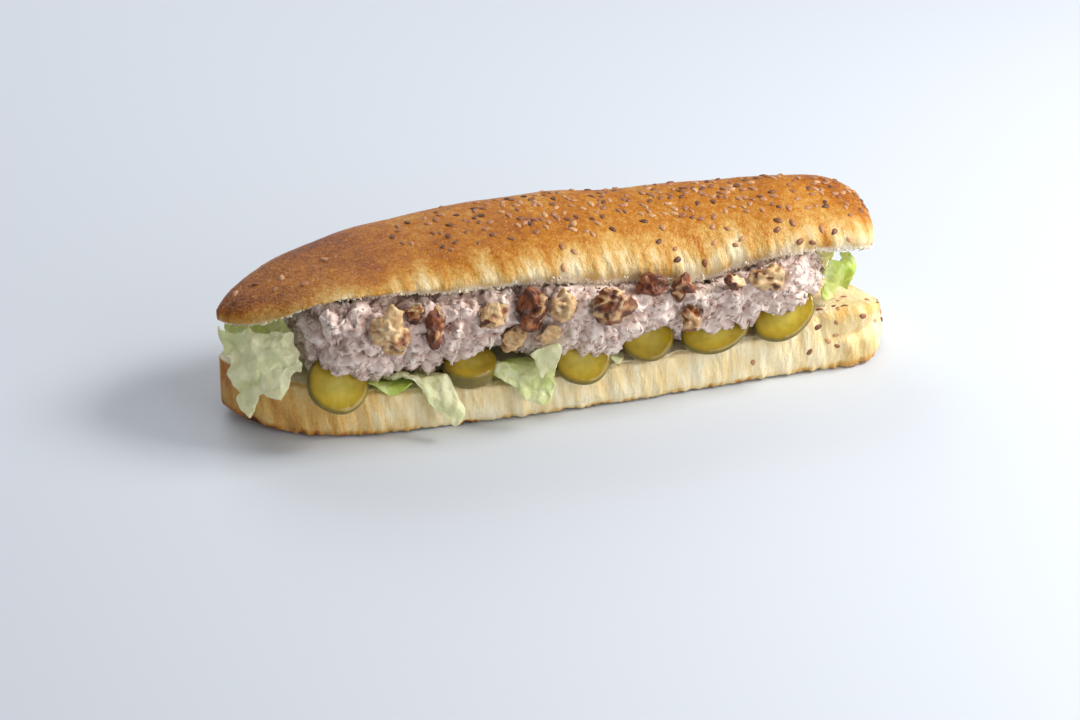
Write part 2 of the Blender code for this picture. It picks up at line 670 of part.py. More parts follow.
def leaf_shapes():
    """Every leaf as (name, shape, columns, rows)."""
    return (
        ("lettuce_bed", bed_leaf, 15, 4),
        ("lettuce_left_outer", patch_leaf(((-138, -6, 40), (-113.5, -21.5, 43.5), (-111.5, -31, 26),
                                           (-130.5, -24.5, 7)), -3.0, 2.2), 8, 7),
        ("lettuce_left_curl", patch_leaf(((-130, -2, 38), (-117, -10, 47), (-113, -15, 36),
                                          (-123, -12, 35)), 2.0, 1.5), 6, 5),
        ("lettuce_left_back", patch_leaf(((-112, 24, 30), (-134, 6, 30), (-133, 3, 41),
                                          (-112, 14, 41)), 2.0, 3.0), 7, 5),
        ("lettuce_front_sliver", draped_leaf(-82, -71, -7, 4.0, -1, 1.5, 0.6, 0.5), 6, 5),
        ("lettuce_front_drape", draped_leaf(-69, -57, -7, 13.0, -1, 2.0, 0.8, 0.35, 5.0), 6, 7),
        ("lettuce_front_fold", draped_leaf(-33, -15, -7, 9.5, -1, 1.6, 0.85, 0.4), 6, 7),
        ("lettuce_front_chip", patch_leaf(((-22, -36.5, 30), (-14, -40, 34), (-13, -39.5, 28),
                                           (-18, -37.5, 22)), 1.0, 1.5), 5, 5),
        ("lettuce_front_tuck", draped_leaf(12.5, 19.0, -8, 2.5, -1, 1.0, 0.5, 0.5), 4, 5),
        ("lettuce_right_tip", patch_leaf(((107, -21, 31), (120, -9, 29), (124, -5, 41),
                                          (109, -19, 47)), 2.0, 2.5), 7, 7),
        ("lettuce_right_back", patch_leaf(((106, 22, 20), (119, 11, 21), (120, 8, 34),
                                           (108, 19, 34)), -2.0, 2.0), 6, 5),
        ("lettuce_back_drape", draped_leaf(-50, -24, -7, 13.0, 1, 2.2, 0.4, 0.5), 6, 6),
        ("lettuce_back_fold", draped_leaf(22, 44, -7, 15.0, 1, 2.0, 0.7, 0.45), 6, 6),
    )


# Materials

def material(name, colour, roughness):
    look = bpy.data.materials.new(name)
    look.use_nodes = True
    surface = look.node_tree.nodes["Principled BSDF"]
    surface.inputs["Base Color"].default_value = (*colour, 1.0)
    surface.inputs["Roughness"].default_value = roughness
    surface.inputs["Metallic"].default_value = 0.0
    return look


def build():
    for obj in list(bpy.data.objects):
        bpy.data.objects.remove(obj)
    sandwich = scratch_collection("submarine_sandwich")

    crust = material("golden crust", (0.68, 0.36, 0.11), 0.5)
    pale_crust = material("pale crust", (0.85, 0.66, 0.34), 0.6)
    salad = material("tuna salad", (0.62, 0.50, 0.46), 0.6)
    green = material("iceberg lettuce", (0.58, 0.70, 0.32), 0.4)
    pickle = material("pickle", (0.42, 0.38, 0.05), 0.3)
    nut = material("walnut", (0.48, 0.27, 0.12), 0.6)

    rng = random.Random(11)
    lower_places = stations(LEFT_TIP, RIGHT_END, STATIONS, 0.72)
    upper_places = stations(LEFT_TIP, UPPER_RIGHT_END, STATIONS, 0.72)
    bottom = loft("bread_bottom", [lower_ring(x) for x in lower_places], pale_crust, sandwich)
    top = loft("bread_top", [upper_ring(x) for x in upper_places], crust, sandwich)

    roll_middle = Vector((0.0, UPPER_CENTRE_Y, 45.0))
    add_seeds(top, spread_seeds(relieved_top, top_seed_chance, TOP_SEEDS, TOP_SEED_GAP, (-100, 128),
                                (0.05, 0.78), lambda p: p - roll_middle * 1.0, rng), crust)
    add_seeds(bottom, spread_seeds(relieved_side, lambda x, share: smooth(x, 60, 100), SIDE_SEEDS,
                                   SIDE_SEED_GAP, (66, 128), (0.3, 0.86),
                                   lambda p: Vector((0.0, -1.0, 0.0)), rng), pale_crust)

    for spec in PICKLES:
        pickle_slice(spec[0], spec, 0.0, pickle, sandwich)
    for number, spec in enumerate(FRONT_WALNUTS, 1):
        place_walnut(f"walnut_front_{number}", number, spec, True, 0.0, nut, sandwich)
    for number, spec in enumerate(BACK_WALNUTS, 1):
        place_walnut(f"walnut_back_{number}", number + 20, spec, False, 0.0, nut, sandwich)
    for name, shape, columns, rows in leaf_shapes():
        leaf(name, shape, columns, rows, green, sandwich)

    rings = [tuna_ring(x) for x in stations(TUNA_LEFT, TUNA_RIGHT, TUNA_STATIONS, 0.8)]
    tuna = loft("tuna_salad", rings, salad, sandwich)
    hollows = scratch_collection("hollows")
    for spec in PICKLES:
        pickle_slice("hollow", spec, 0.4, pickle, hollows)
    for number, spec in enumerate(FRONT_WALNUTS, 1):
        place_walnut("hollow", number, spec, True, WALNUT_GAP, nut, hollows)
    for number, spec in enumerate(BACK_WALNUTS, 1):
        place_walnut("hollow", number + 20, spec, False, WALNUT_GAP, nut, hollows)
    boolean_with(tuna, hollows, "DIFFERENCE")


build()
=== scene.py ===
import math

import bmesh
import bpy
import numpy as np
from mathutils import Matrix, Vector, noise


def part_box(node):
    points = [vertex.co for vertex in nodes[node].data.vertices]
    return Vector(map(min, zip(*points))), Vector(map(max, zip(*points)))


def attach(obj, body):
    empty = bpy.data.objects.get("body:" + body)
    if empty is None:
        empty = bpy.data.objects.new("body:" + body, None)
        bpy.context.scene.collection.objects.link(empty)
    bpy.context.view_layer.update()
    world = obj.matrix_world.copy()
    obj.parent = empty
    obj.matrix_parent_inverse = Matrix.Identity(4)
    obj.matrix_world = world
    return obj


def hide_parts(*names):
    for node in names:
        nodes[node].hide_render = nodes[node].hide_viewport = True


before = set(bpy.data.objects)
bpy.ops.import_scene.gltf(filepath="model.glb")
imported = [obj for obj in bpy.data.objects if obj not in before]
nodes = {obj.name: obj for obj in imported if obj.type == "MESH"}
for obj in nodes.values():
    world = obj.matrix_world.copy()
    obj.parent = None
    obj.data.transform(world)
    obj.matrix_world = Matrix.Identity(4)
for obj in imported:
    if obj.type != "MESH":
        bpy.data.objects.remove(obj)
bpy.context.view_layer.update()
scene = bpy.context.scene
mm = 0.001    # shapes are worked out in millimetres

print("stage 1: camera, light and floor")

view = {
    "place": (-0.27726, -0.92504, 0.61164),
    "forward": (0.23750, 0.81218, -0.53288),
    "roll": 1.3,
    "lens": 93.33,
}
lights = {
    "key": {"place": (0.7, -0.13, 0.66), "size": 0.34, "power": 9.1, "colour": (1.0, 0.98, 0.95)},
    "front": {"place": (0.55, -0.75, 0.34), "size": 0.75, "power": 4.0, "colour": (1.0, 0.99, 0.97)},
    "back": {"place": (-0.2, 0.8, 0.7), "size": 0.7, "power": 3.5, "colour": (0.97, 0.98, 1.0)},
}
lightTarget = (0, 0, 0.03)
sky = {"colour": (0.93, 0.96, 1.0, 1.0), "strength": 0.36}
floor = {"colour": (0.62, 0.66, 0.72, 1.0), "roughness": 0.6, "halfSize": 6.0, "drop": 0.0004}


def tint(red, green, blue):
    parts = []
    for part in (red, green, blue):
        part /= 255
        parts.append(part / 12.92 if part <= 0.04045 else ((part + 0.055) / 1.055) ** 2.4)
    return (*parts, 1.0)


def addCamera():
    lens = bpy.data.cameras.new("viewLens")
    lens.lens, lens.sensor_width, lens.clip_end = view["lens"], 36, 20
    camera = linked("viewCamera", lens)
    forward = Vector(view["forward"]).normalized()
    right = forward.cross(Vector((0, 0, 1))).normalized()
    up = right.cross(forward)
    tilt = math.radians(view["roll"])
    turnedRight = right * math.cos(tilt) + up * math.sin(tilt)
    turnedUp = up * math.cos(tilt) - right * math.sin(tilt)
    camera.matrix_world = Matrix((turnedRight, turnedUp, -forward)).transposed().to_4x4()
    camera.location = view["place"]
    scene.camera = camera


def addLights():
    for name, light in lights.items():
        data = bpy.data.lights.new(name, "AREA")
        data.size, data.energy, data.color = light["size"], light["power"], light["colour"]
        lamp = linked(name, data)
        lamp.location = light["place"]
        aim = Vector(lightTarget) - Vector(light["place"])
        lamp.rotation_euler = aim.to_track_quat("-Z", "Y").to_euler()
    world = bpy.data.worlds.new("softSky")
    world.use_nodes = True
    setSockets(world.node_tree, world.node_tree.nodes["Background"],
               {"Color": sky["colour"], "Strength": sky["strength"]})
    scene.world = world
    scene.view_settings.view_transform = "Standard"


# Materials

def newMaterial(name):
    look = bpy.data.materials.new(name)
    look.use_nodes = True
    return look, look.node_tree, look.node_tree.nodes["Principled BSDF"]


# Each socket takes a plain value or the output of another node
def setSockets(tree, node, values):
    for key, value in values.items():
        if isinstance(value, bpy.types.NodeSocket):
            tree.links.new(value, node.inputs[key])
        else:
            node.inputs[key].default_value = value


def addNode(tree, kind, values=None, **settings):
    made = tree.nodes.new(kind)
    for key, value in settings.items():
        setattr(made, key, value)
    setSockets(tree, made, values or {})
    return made


def maths(tree, operation, first, second=0.0, third=0.0, clamp=False):
    return addNode(tree, "ShaderNodeMath", {0: first, 1: second, 2: third}, operation=operation,
                   use_clamp=clamp).outputs[0]


def attribute(tree, name):
    return addNode(tree, "ShaderNodeAttribute", attribute_name=name).outputs["Fac"]


def place(tree, scale=(1, 1, 1)):
    coords = addNode(tree, "ShaderNodeTexCoord").outputs["Object"]
    return addNode(tree, "ShaderNodeMapping", {"Vector": coords, "Scale": scale}).outputs["Vector"]


def noiseAt(tree, vector, scale, detail=3.0, roughness=0.55, output="Fac"):
    made = addNode(tree, "ShaderNodeTexNoise",
                   {"Vector": vector, "Scale": scale, "Detail": detail, "Roughness": roughness})
    return made.outputs[output]


# Noise that swings evenly to both sides of zero
def swing(tree, vector, scale, amount, detail=3.0, roughness=0.55):
    height = noiseAt(tree, vector, scale, detail, roughness)
    return maths(tree, "MULTIPLY_ADD", height, amount, -amount / 2)


# A value stored in the mesh, broken up by noise
def varied(tree, name, *noiseValues, clamp=False):
    return maths(tree, "ADD", attribute(tree, name), swing(tree, *noiseValues), clamp=clamp)


def ramp(tree, value, stops):
    made = addNode(tree, "ShaderNodeValToRGB", {"Fac": value})
    line = made.color_ramp
    while len(line.elements) < len(stops):
        line.elements.new(0.5)
    for element, (at, *colour) in zip(line.elements, stops):
        element.position = at
        element.color = tint(*colour)
    return made.outputs["Color"]


def mixColour(tree, share, first, second, blend="MIX"):
    return addNode(tree, "ShaderNodeMix", {0: share, 6: first, 7: second}, data_type="RGBA",
                   blend_type=blend).outputs[2]


def bump(tree, height, strength, distance, under=None):
    values = {"Height": height, "Strength": strength, "Distance": distance}
    if under is not None:
        values["Normal"] = under
    return addNode(tree, "ShaderNodeBump", values).outputs["Normal"]


# Light that enters the food and comes out beside
def softLight(weight, radius, scale):
    return {"Subsurface Weight": weight, "Subsurface Radius": radius, "Subsurface Scale": scale}


def crustMaterial(name, stops, crumbColours, gloss, streaks, specked):
    look, tree, surface = newMaterial(name)
    body, upright = place(tree), place(tree, (1, 1, 0.16))
    tone = varied(tree, "bake", body, 42, 0.4, 4)
    specks, streak = swing(tree, body, 620, specked), swing(tree, upright, 330, streaks, 3, 0.6)
    crust = ramp(tree, maths(tree, "ADD", tone, maths(tree, "ADD", specks, streak)), stops)
    # Pale flecks mixed into the crust colour: painted glints, small highlights of light on the crust's
    # fine blisters
    fleck = noiseAt(tree, body, 1100, 2, 0.6)
    fleck = ramp(tree, fleck, ((0.57, 0, 0, 0), (0.7, 130, 130, 130)))
    crust = mixColour(tree, fleck, crust, tint(246, 222, 170))
    crumbTone = noiseAt(tree, body, 420, 4, 0.65)
    crumb = ramp(tree, crumbTone, ((0.3, *crumbColours[0]), (0.65, *crumbColours[1])))
    share = attribute(tree, "crumb")
    relief = bump(tree, noiseAt(tree, body, 950, 3, 0.6), 0.6, 0.0005)
    relief = bump(tree, noiseAt(tree, upright, 620, 3, 0.6), 0.9, 0.0008, relief)
    roughness = maths(tree, "MULTIPLY_ADD", noiseAt(tree, body, 260, 2), 0.35, gloss - 0.15)
    roughness = maths(tree, "MULTIPLY_ADD", share, 0.4, roughness, clamp=True)
    setSockets(tree, surface, {
        "Base Color": mixColour(tree, share, crust, crumb), "Roughness": roughness, "Normal": relief,
        **softLight(0.08, (0.6, 0.45, 0.3), 0.002), "Specular IOR Level": 0.26})
    return look


def tunaMaterial():
    look, tree, surface = newMaterial("tunaFlesh")
    body = place(tree)
    # The stored tone of the tuna carries painted shade, darker in its hollows and toward the left end,
    # broken up by noise for the tuna's own varied colour
    tone = varied(tree, "tone", body, 380, 0.9, 4, 0.7, clamp=True)
    colour = ramp(tree, tone, ((0.0, 104, 56, 36), (0.06, 154, 112, 94),
                               (0.18, 190, 159, 146), (0.46, 218, 193, 182),
                               (1.0, 247, 234, 222)))
    fibres = noiseAt(tree, place(tree, (1, 1, 2.5)), 900, 3, 0.6)
    setSockets(tree, surface, {
        "Base Color": colour, "Roughness": 0.42, "Normal": bump(tree, fibres, 0.5, 0.0004),
        **softLight(0.1, (1.0, 0.5, 0.4), 0.001), "Coat Weight": 0.12, "Coat Roughness": 0.25})
    return look


def walnutMaterial():
    look, tree, surface = newMaterial("walnutFleshAndSkin")
    body = place(tree)
    flesh = ramp(tree, noiseAt(tree, body, 330, 4), ((0.3, 178, 132, 80), (0.5, 212, 174, 122),
                                                     (0.7, 234, 208, 166)))
    skin = ramp(tree, noiseAt(tree, body, 300, 4), ((0.3, 52, 20, 8), (0.5, 112, 52, 18),
                                                    (0.72, 176, 100, 42)))
    share = varied(tree, "skin", body, 480, 0.7, 4, 0.65)
    share = maths(tree, "MULTIPLY_ADD", share, 3.0, -1.0, clamp=True)
    setSockets(tree, surface, {
        "Base Color": mixColour(tree, share, flesh, skin), "Roughness": 0.5,
        "Normal": bump(tree, noiseAt(tree, body, 800, 4, 0.6), 0.5, 0.0003),
        **softLight(0.1, (0.8, 0.5, 0.3), 0.0012), "Coat Weight": 0.15, "Coat Roughness": 0.3})
    return look


def pickleMaterial():
    look, tree, surface = newMaterial("pickledCucumber")
    body = place(tree)
    radius = varied(tree, "radius", body, 160, 0.12, 3)
    colour = ramp(tree, radius, ((0.0, 212, 194, 96), (0.4, 204, 182, 68),
                                 (0.62, 190, 164, 44), (0.84, 174, 144, 24),
                                 (0.95, 148, 124, 12), (1.0, 112, 96, 8)))
    mottled = noiseAt(tree, body, 240, 4)
    mottled = ramp(tree, mottled, ((0.35, 214, 214, 205), (0.65, 255, 255, 255)))
    setSockets(tree, surface, {
        "Base Color": mixColour(tree, 0.5, colour, mottled, "MULTIPLY"), "Roughness": 0.2,
        "Normal": bump(tree, noiseAt(tree, body, 300, 3, 0.5), 0.4, 0.0006),
        **softLight(0.3, (0.9, 0.7, 0.1), 0.002), "Coat Weight": 0.6, "Coat Roughness": 0.08, "IOR": 1.38})
    return look


def lettuceMaterial():
    look, tree, surface = newMaterial("icebergLeaf")
    body = place(tree)
    green = varied(tree, "green", body, 70, 0.7, 3, clamp=True)
    colour = ramp(tree, green, ((0.0, 254, 252, 208), (0.3, 236, 241, 178),
                                (0.65, 212, 230, 108), (1.0, 164, 202, 44)))
    bent = addNode(tree, "ShaderNodeVectorMath",
                   {0: noiseAt(tree, body, 90, 3, output="Color"), 1: (0.006, 0.006, 0.006), 2: body},
                   operation="MULTIPLY_ADD").outputs["Vector"]
    veins = addNode(tree, "ShaderNodeTexVoronoi", {"Vector": bent, "Scale": 110.0},
                    feature="DISTANCE_TO_EDGE").outputs["Distance"]
    veins = maths(tree, "MULTIPLY", veins, 6.0, clamp=True)
    colour = mixColour(tree, maths(tree, "MULTIPLY_ADD", veins, -0.3, 0.3), colour, tint(250, 250, 218))
    normal = bump(tree, veins, 0.35, 0.0007)
    normal = bump(tree, noiseAt(tree, body, 200, 3), 0.8, 0.0018, normal)
    setSockets(tree, surface, {
        "Base Color": colour, "Roughness": 0.32, "Normal": normal, "Coat Weight": 0.25,
        "Coat Roughness": 0.2, **softLight(0.15, (0.6, 1.0, 0.3), 0.002)})
    glow = addNode(tree, "ShaderNodeBsdfTranslucent", {"Color": colour, "Normal": normal})
    both = addNode(tree, "ShaderNodeMixShader", {0: 0.3, 1: surface.outputs[0], 2: glow.outputs[0]})
    tree.links.new(both.outputs[0], tree.nodes["Material Output"].inputs["Surface"])
    return look


def seedMaterial():
    look, tree, surface = newMaterial("sesameHull")
    tone = varied(tree, "tone", place(tree), 900, 0.5, 2)
    colour = ramp(tree, tone, ((0.0, 92, 48, 26), (0.3, 142, 88, 52),
                               (0.65, 178, 124, 84), (1.0, 206, 158, 112)))
    setSockets(tree, surface, {"Base Color": colour, "Roughness": 0.45, "Specular IOR Level": 0.5})
    return look


def crumbMaterial():
    look, tree, surface = newMaterial("whiteCrumb")
    colour = ramp(tree, attribute(tree, "tone"), ((0.0, 226, 204, 166), (0.5, 240, 226, 198),
                                                  (1.0, 250, 243, 228)))
    setSockets(tree, surface, {"Base Color": colour, "Roughness": 0.8,
                               **softLight(0.2, (1.0, 0.8, 0.6), 0.001)})
    return look


def addFloor():
    look, tree, surface = newMaterial("paleFloor")
    setSockets(tree, surface, {"Base Color": floor["colour"], "Roughness": floor["roughness"]})
    builder = bmesh.new()
    bmesh.ops.create_grid(builder, x_segments=1, y_segments=1, size=floor["halfSize"])
    piece = newPiece("floor", meshFrom(builder, "floor"), look)
    piece.location.z = -floor["drop"]


# Meshes and objects

def linked(name, data):
    made = bpy.data.objects.new(name, data)
    scene.collection.objects.link(made)
    return made


def newPiece(name, mesh, look):
    mesh.materials.clear()
    mesh.materials.append(look)
    return linked(name, mesh)


def meshFrom(builder, name):
    mesh = bpy.data.meshes.new(name)
    builder.to_mesh(mesh)
    builder.free()
    return mesh


# A copy of a solid with its shared corners merged
def mergedCopy(nodeName):
    builder = bmesh.new()
    builder.from_mesh(nodes[nodeName].data)
    bmesh.ops.remove_doubles(builder, verts=builder.verts, dist=0.000002)
    return builder


# Corners in millimetres, and the normal at each
def placesAndNormals(mesh):
    count = len(mesh.vertices)
    places, normals = np.empty(count * 3), np.empty(count * 3, dtype=np.float32)
    mesh.vertices.foreach_get("co", places)
    mesh.vertex_normals.foreach_get("vector", normals)
    return ([Vector(spot) / mm for spot in places.reshape(-1, 3)],
            [Vector(way.tolist()) for way in normals.reshape(-1, 3)])


def reshape(mesh, points):
    mesh.vertices.foreach_set("co", np.array([point[:] for point in points]).ravel() * mm)
    mesh.update()


# One value for each corner, for the materials and the scattering
def store(mesh, label, values):
    layer = mesh.attributes.get(label) or mesh.attributes.new(label, "FLOAT", "POINT")
    layer.data.foreach_set("value", np.asarray(values, dtype=np.float32))


# The mesh that a piece has after its modifiers, as a plain piece
def finished(piece, name, look):
    evaluated = piece.evaluated_get(bpy.context.evaluated_depsgraph_get())
    mesh = bpy.data.meshes.new_from_object(evaluated)
    bpy.data.objects.remove(piece)
    return newPiece(name, mesh, look)


def subdivided(nodeCopy, name, look, levels, plainLevels=0):
    piece = newPiece(name + "Rough", meshFrom(nodeCopy, name), look)
    for kind, count in (("CATMULL_CLARK", levels), ("SIMPLE", plainLevels)):
        if count:
            step = piece.modifiers.new("smoothing", "SUBSURF")
            step.subdivision_type = kind
            step.levels = step.render_levels = count
    return finished(piece, name, look)


def joined(name, parts, look):
    builder = bmesh.new()
    for part in parts:
        builder.from_mesh(part.data)
        bpy.data.objects.remove(part)
    mesh = meshFrom(builder, name)
    mesh.shade_smooth()
    return newPiece(name, mesh, look)


addCamera()
addLights()
addFloor()

looks = {
    "topCrust": crustMaterial(
        "goldenCrust",
        ((0.0, 238, 222, 182), (0.2, 224, 194, 138), (0.4, 208, 160, 80),
         (0.6, 184, 114, 16), (0.8, 150, 79, 3), (1.0, 88, 42, 2)),
        ((242, 230, 204), (255, 252, 244)), 0.36, 0.5, 0.26),
    "bottomCrust": crustMaterial(
        "paleCrust",
        ((0.0, 250, 236, 200), (0.2, 241, 216, 160), (0.42, 222, 178, 98),
         (0.68, 182, 116, 42), (0.88, 132, 70, 22), (1.0, 84, 38, 12)),
        ((240, 224, 184), (253, 246, 226)), 0.44, 0.22, 0.22),
    "tuna": tunaMaterial(), "walnut": walnutMaterial(), "pickle": pickleMaterial(),
    "lettuce": lettuceMaterial(), "seed": seedMaterial(), "crumb": crumbMaterial(),
}

print("stage 2: shape of the roll")

roll = {
    "leftTip": -137.5, "rightEnd": 137.0, "upperRightEnd": 131.0,
    "leftTaper": 70.0, "rightTaper": 26.0, "tipHalfWidth": 1.8,
    "centreLine": ((-137, 0), (96, 0), (137, -4)),
    "halfWidth": ((-137, 33.0), (-80, 33.0), (-10, 33.8), (30, 33.0), (70, 31.0), (105, 29.2),
                  (137, 28.8)),
    "leftRound": (2.2, 0.62), "rightRound": (2.8, 0.5), "levelWidth": 26, "fadeWidths": (2.0, 14.0),
    "bumpDepth": 0.9, "bumpLength": 26.0, "ridgeDepth": 0.5, "ridgeLength": 7.0,
    "slant": 0.22, "grainLength": 0.8,
}
lower = {
    "frontEdge": ((-137, 27), (-124, 27), (-104, 24), (-80, 20.5), (-50, 18.5), (0, 18.5), (45, 20),
                  (72, 21.5), (92, 24.5), (106, 28.5), (122, 29), (131, 26), (137.5, 19)),
    "backEdge": ((-137, 25), (-100, 19), (-40, 15.5), (30, 15), (100, 14.5), (137.5, 12)),
    "dip": 2.0, "baseInset": 2.0, "edgeInset": 1.8, "widestAt": 0.42,
    "grooveZ": 17.5, "grooveDepth": 3.2, "grooveHalf": 4.0, "grooveFrom": 98.0,
    "flatLeft": -100.0, "flatRight": 112.0, "flatHalf": 26.0, "rimLift": 0.5,
    "stations": 560, "sideSteps": 48, "cutSteps": 40, "baseSteps": 10,
    "fold": 1.15, "foldLength": 6.2, "pulledRidge": 0.5, "fineRidge": 0.2, "grain": 0.08,
    "crag": 1.3, "fineCrag": 0.7, "edgeRound": 1.7, "edgeDrop": 0.9,
    "creaseZ": 15.5, "creaseDepth": 2.2, "creaseHalf": 1.3,
    "leftGold": 0.3, "tipGold": 0.2, "endGlow": 0.13,
}
upper = {
    "centreY": 1.5, "narrower": 2.0, "crownSetBack": 5.0,
    "crown": ((-137.5, 46.4), (-131, 50.6), (-121, 54.4), (-108, 59.6), (-91, 64.6), (-75, 68),
              (-47, 72), (-12, 74.3), (30, 72), (60, 70.8), (90, 71), (104, 69.8), (117, 67.8),
              (126, 63.5), (131, 56)),
    "frontEdge": ((-137.5, 43), (-123, 49), (-110, 56), (-94, 60.5), (-73, 61), (-48, 58.5),
                  (-28, 59), (-8, 57), (12, 54), (32, 51.5), (50, 48.5), (67, 52), (97, 55),
                  (122, 52), (131, 49)),
    "backEdge": ((-137.5, 42), (-100, 40), (-50, 38), (0, 37), (50, 35.5), (100, 37), (131, 41)),
    "edgeInset": 2.8, "widestAt": 0.3, "hollow": 1.6, "tuckedShare": 0.18, "crownRound": 0.92,
    "stations": 500, "crustSteps": 104, "cutSteps": 40,
    "fold": 0.9, "foldLength": 5.0, "pulledRidge": 0.62, "fineRidge": 0.24, "grain": 0.08,
    "baseBake": 0.2, "crownBake": 0.42,
}


def limit(value, low, high):
    return max(low, min(high, value))


def smooth(value, start, end):
    share = limit((value - start) / (end - start), 0.0, 1.0)
    return share * share * (3 - 2 * share)


# A smooth curve through points of place and value, level beyond its ends
def follow(points, at):
    if at <= points[0][0]:
        return float(points[0][1])
    if at >= points[-1][0]:
        return float(points[-1][1])
    i = next(k for k in range(len(points) - 1) if points[k + 1][0] >= at)

    def slope(k):
        before, after = points[max(k - 1, 0)], points[min(k + 1, len(points) - 1)]
        return (after[1] - before[1]) / (after[0] - before[0])

    run = points[i + 1][0] - points[i][0]
    t = (at - points[i][0]) / run
    return ((2 * t**3 - 3 * t**2 + 1) * points[i][1] + (t**3 - 2 * t**2 + t) * run * slope(i)
            + (3 * t**2 - 2 * t**3) * points[i + 1][1] + (t**3 - t**2) * run * slope(i + 1))


def rough(x, y, z):
    return noise.noise(Vector((x, y, z)))


def grainAt(spot, length, lift=0.0):
    x, y, z = spot
    return rough(x / length, y / length, z / length + lift)


def bell(offset, half):
    return math.exp(-((offset / half) ** 2))


def closing(share, powers):
    return (1 - share ** powers[0]) ** powers[1]


def halfWidth(x, rightEnd=roll["rightEnd"]):
    left = limit((roll["leftTip"] + roll["leftTaper"] - x) / roll["leftTaper"], 0.0, 1.0)
    right = limit((x - rightEnd + roll["rightTaper"]) / roll["rightTaper"], 0.0, 1.0)
    width = follow(roll["halfWidth"], x) * closing(left, roll["leftRound"])
    return max(width * closing(right, roll["rightRound"]), roll["tipHalfWidth"])


# Height of the front edge (-1) and the back edge (1), level where the roll is narrow
def levelEdges(half, x, width):
    front, back = follow(half["frontEdge"], x), follow(half["backEdge"], x)
    return {side: (front + back) / 2 - side * (front - back) / 2 * min(width / roll["levelWidth"], 1)
            for side in (-1, 1)}


# The cross-section of both halves at one place along x
class Station:

    def __init__(self, x):
        self.x = x
        self.centre = follow(roll["centreLine"], x)
        self.width = halfWidth(x)
        self.edge = levelEdges(lower, x, self.width)
        left = limit((lower["flatLeft"] - x) / (lower["flatLeft"] - roll["leftTip"]), 0.0, 1.0)
        right = limit((x - lower["flatRight"]) / (roll["rightEnd"] - lower["flatRight"]), 0.0, 1.0)
        self.floor = 5.0 * left**2 + 2.5 * right**2
        self.flatHalf = min(lower["flatHalf"], 0.8 * self.width)
        share = 1 - upper["narrower"] / roll["halfWidth"][0][1]
        self.upperWidth = halfWidth(x, roll["upperRightEnd"]) * share
        self.upperCentre = upper["centreY"] + self.centre
        self.upperEdge = levelEdges(upper, x, self.upperWidth)
        self.crown = follow(upper["crown"], x)

    def cutFace(self, y, centre, width, edges, bow):
        width = max(width, 0.5)
        share = limit((y - centre + width) / (2 * width), 0.0, 1.0)
        edge = edges[-1] * (1 - share) + edges[1] * share
        return edge + bow * math.sin(math.pi * share) * min(width / 20, 1)

    def lowerCut(self, y):
        return self.cutFace(y, self.centre, self.width - lower["edgeInset"], self.edge, -lower["dip"])

    def lowerReach(self, z, side):
        share = limit(z / self.edge[side], 0.0, 1.0)
        if share < lower["widestAt"]:
            inset = lower["baseInset"] * (1 - share / lower["widestAt"]) ** 2
        else:
            inset = lower["edgeInset"] * ((share - lower["widestAt"]) / (1 - lower["widestAt"])) ** 2
        groove = bell(z - lower["grooveZ"], lower["grooveHalf"]) * lower["grooveDepth"]
        inset += groove * smooth(self.x, lower["grooveFrom"], roll["rightEnd"] - 12)
        return max(self.width - inset * min(self.width / 12, 1), 0.15)

    def upperCut(self, y):
        width = self.upperWidth - upper["edgeInset"]
        return self.cutFace(y, self.upperCentre, width, self.upperEdge, upper["hollow"])

    def upperCrust(self, turn):
        crownY = self.upperCentre + upper["crownSetBack"] * min(self.upperWidth / 25, 1)
        side = -1 if turn < 0.5 else 1
        edge = self.upperEdge[side]
        widestZ = edge + upper["widestAt"] * (self.crown - edge)
        widestY = self.upperCentre + side * self.upperWidth
        rise, below = 1 - abs(turn - 0.5) * 2, upper["tuckedShare"]
        if rise < below:
            drop = (below - rise) / below
            inset = upper["edgeInset"] * min(self.upperWidth / 12, 1) * drop**2
            return Vector((self.x, widestY - side * inset, widestZ + (edge - widestZ) * drop))
        angle = (rise - below) / (1 - below) * math.pi / 2
        across = math.cos(angle) ** upper["crownRound"]
        return Vector((self.x, crownY + (widestY - crownY) * across,
                       widestZ + (self.crown - widestZ) * math.sin(angle)))


# Places along x, closer together toward both ends
def stationPlaces(start, end, count, evenness=0.72):
    places = []
    for i in range(count):
        even = i / (count - 1)
        roundEnds = (1 - math.cos(math.pi * even)) / 2
        places.append(start + (end - start) * (even * evenness + roundEnds * (1 - evenness)))
    return places


def softRelief(point, sideways):
    bumps = roll["bumpDepth"] * grainAt(point, roll["bumpLength"])
    ridges = roll["ridgeDepth"] * rough(point.x / roll["ridgeLength"], 0.0, point.z / 40)
    return bumps + ridges * sideways


# Slanting folds and ridges of pulled dough, and a fine grain over them
def crustGrain(point, settings, sideways, side):
    slanted = point.x + roll["slant"] * point.z
    pulled = settings["pulledRidge"] * rough(slanted / 2.6, side * 9.0, point.z / 15)
    pulled += settings["fold"] * rough(slanted / settings["foldLength"], side * 3.0, point.z / 22)
    fine = settings["fineRidge"] * rough(slanted / 1.15, side * 5.0, point.z / 6)
    grain = settings["grain"] * grainAt(point, roll["grainLength"])
    return (pulled + fine) * sideways + grain


# Pores of the cut crumb in three sizes, each with its own seed
def crumbPores(x, y, pitDepth, seeds):
    swell, pits, fine = (rough(x / length, y / length, seed)
                         for length, seed in zip((12, 2.6, 1.1), seeds))
    return 0.5 * swell + pitDepth * abs(pits) + 0.3 * fine


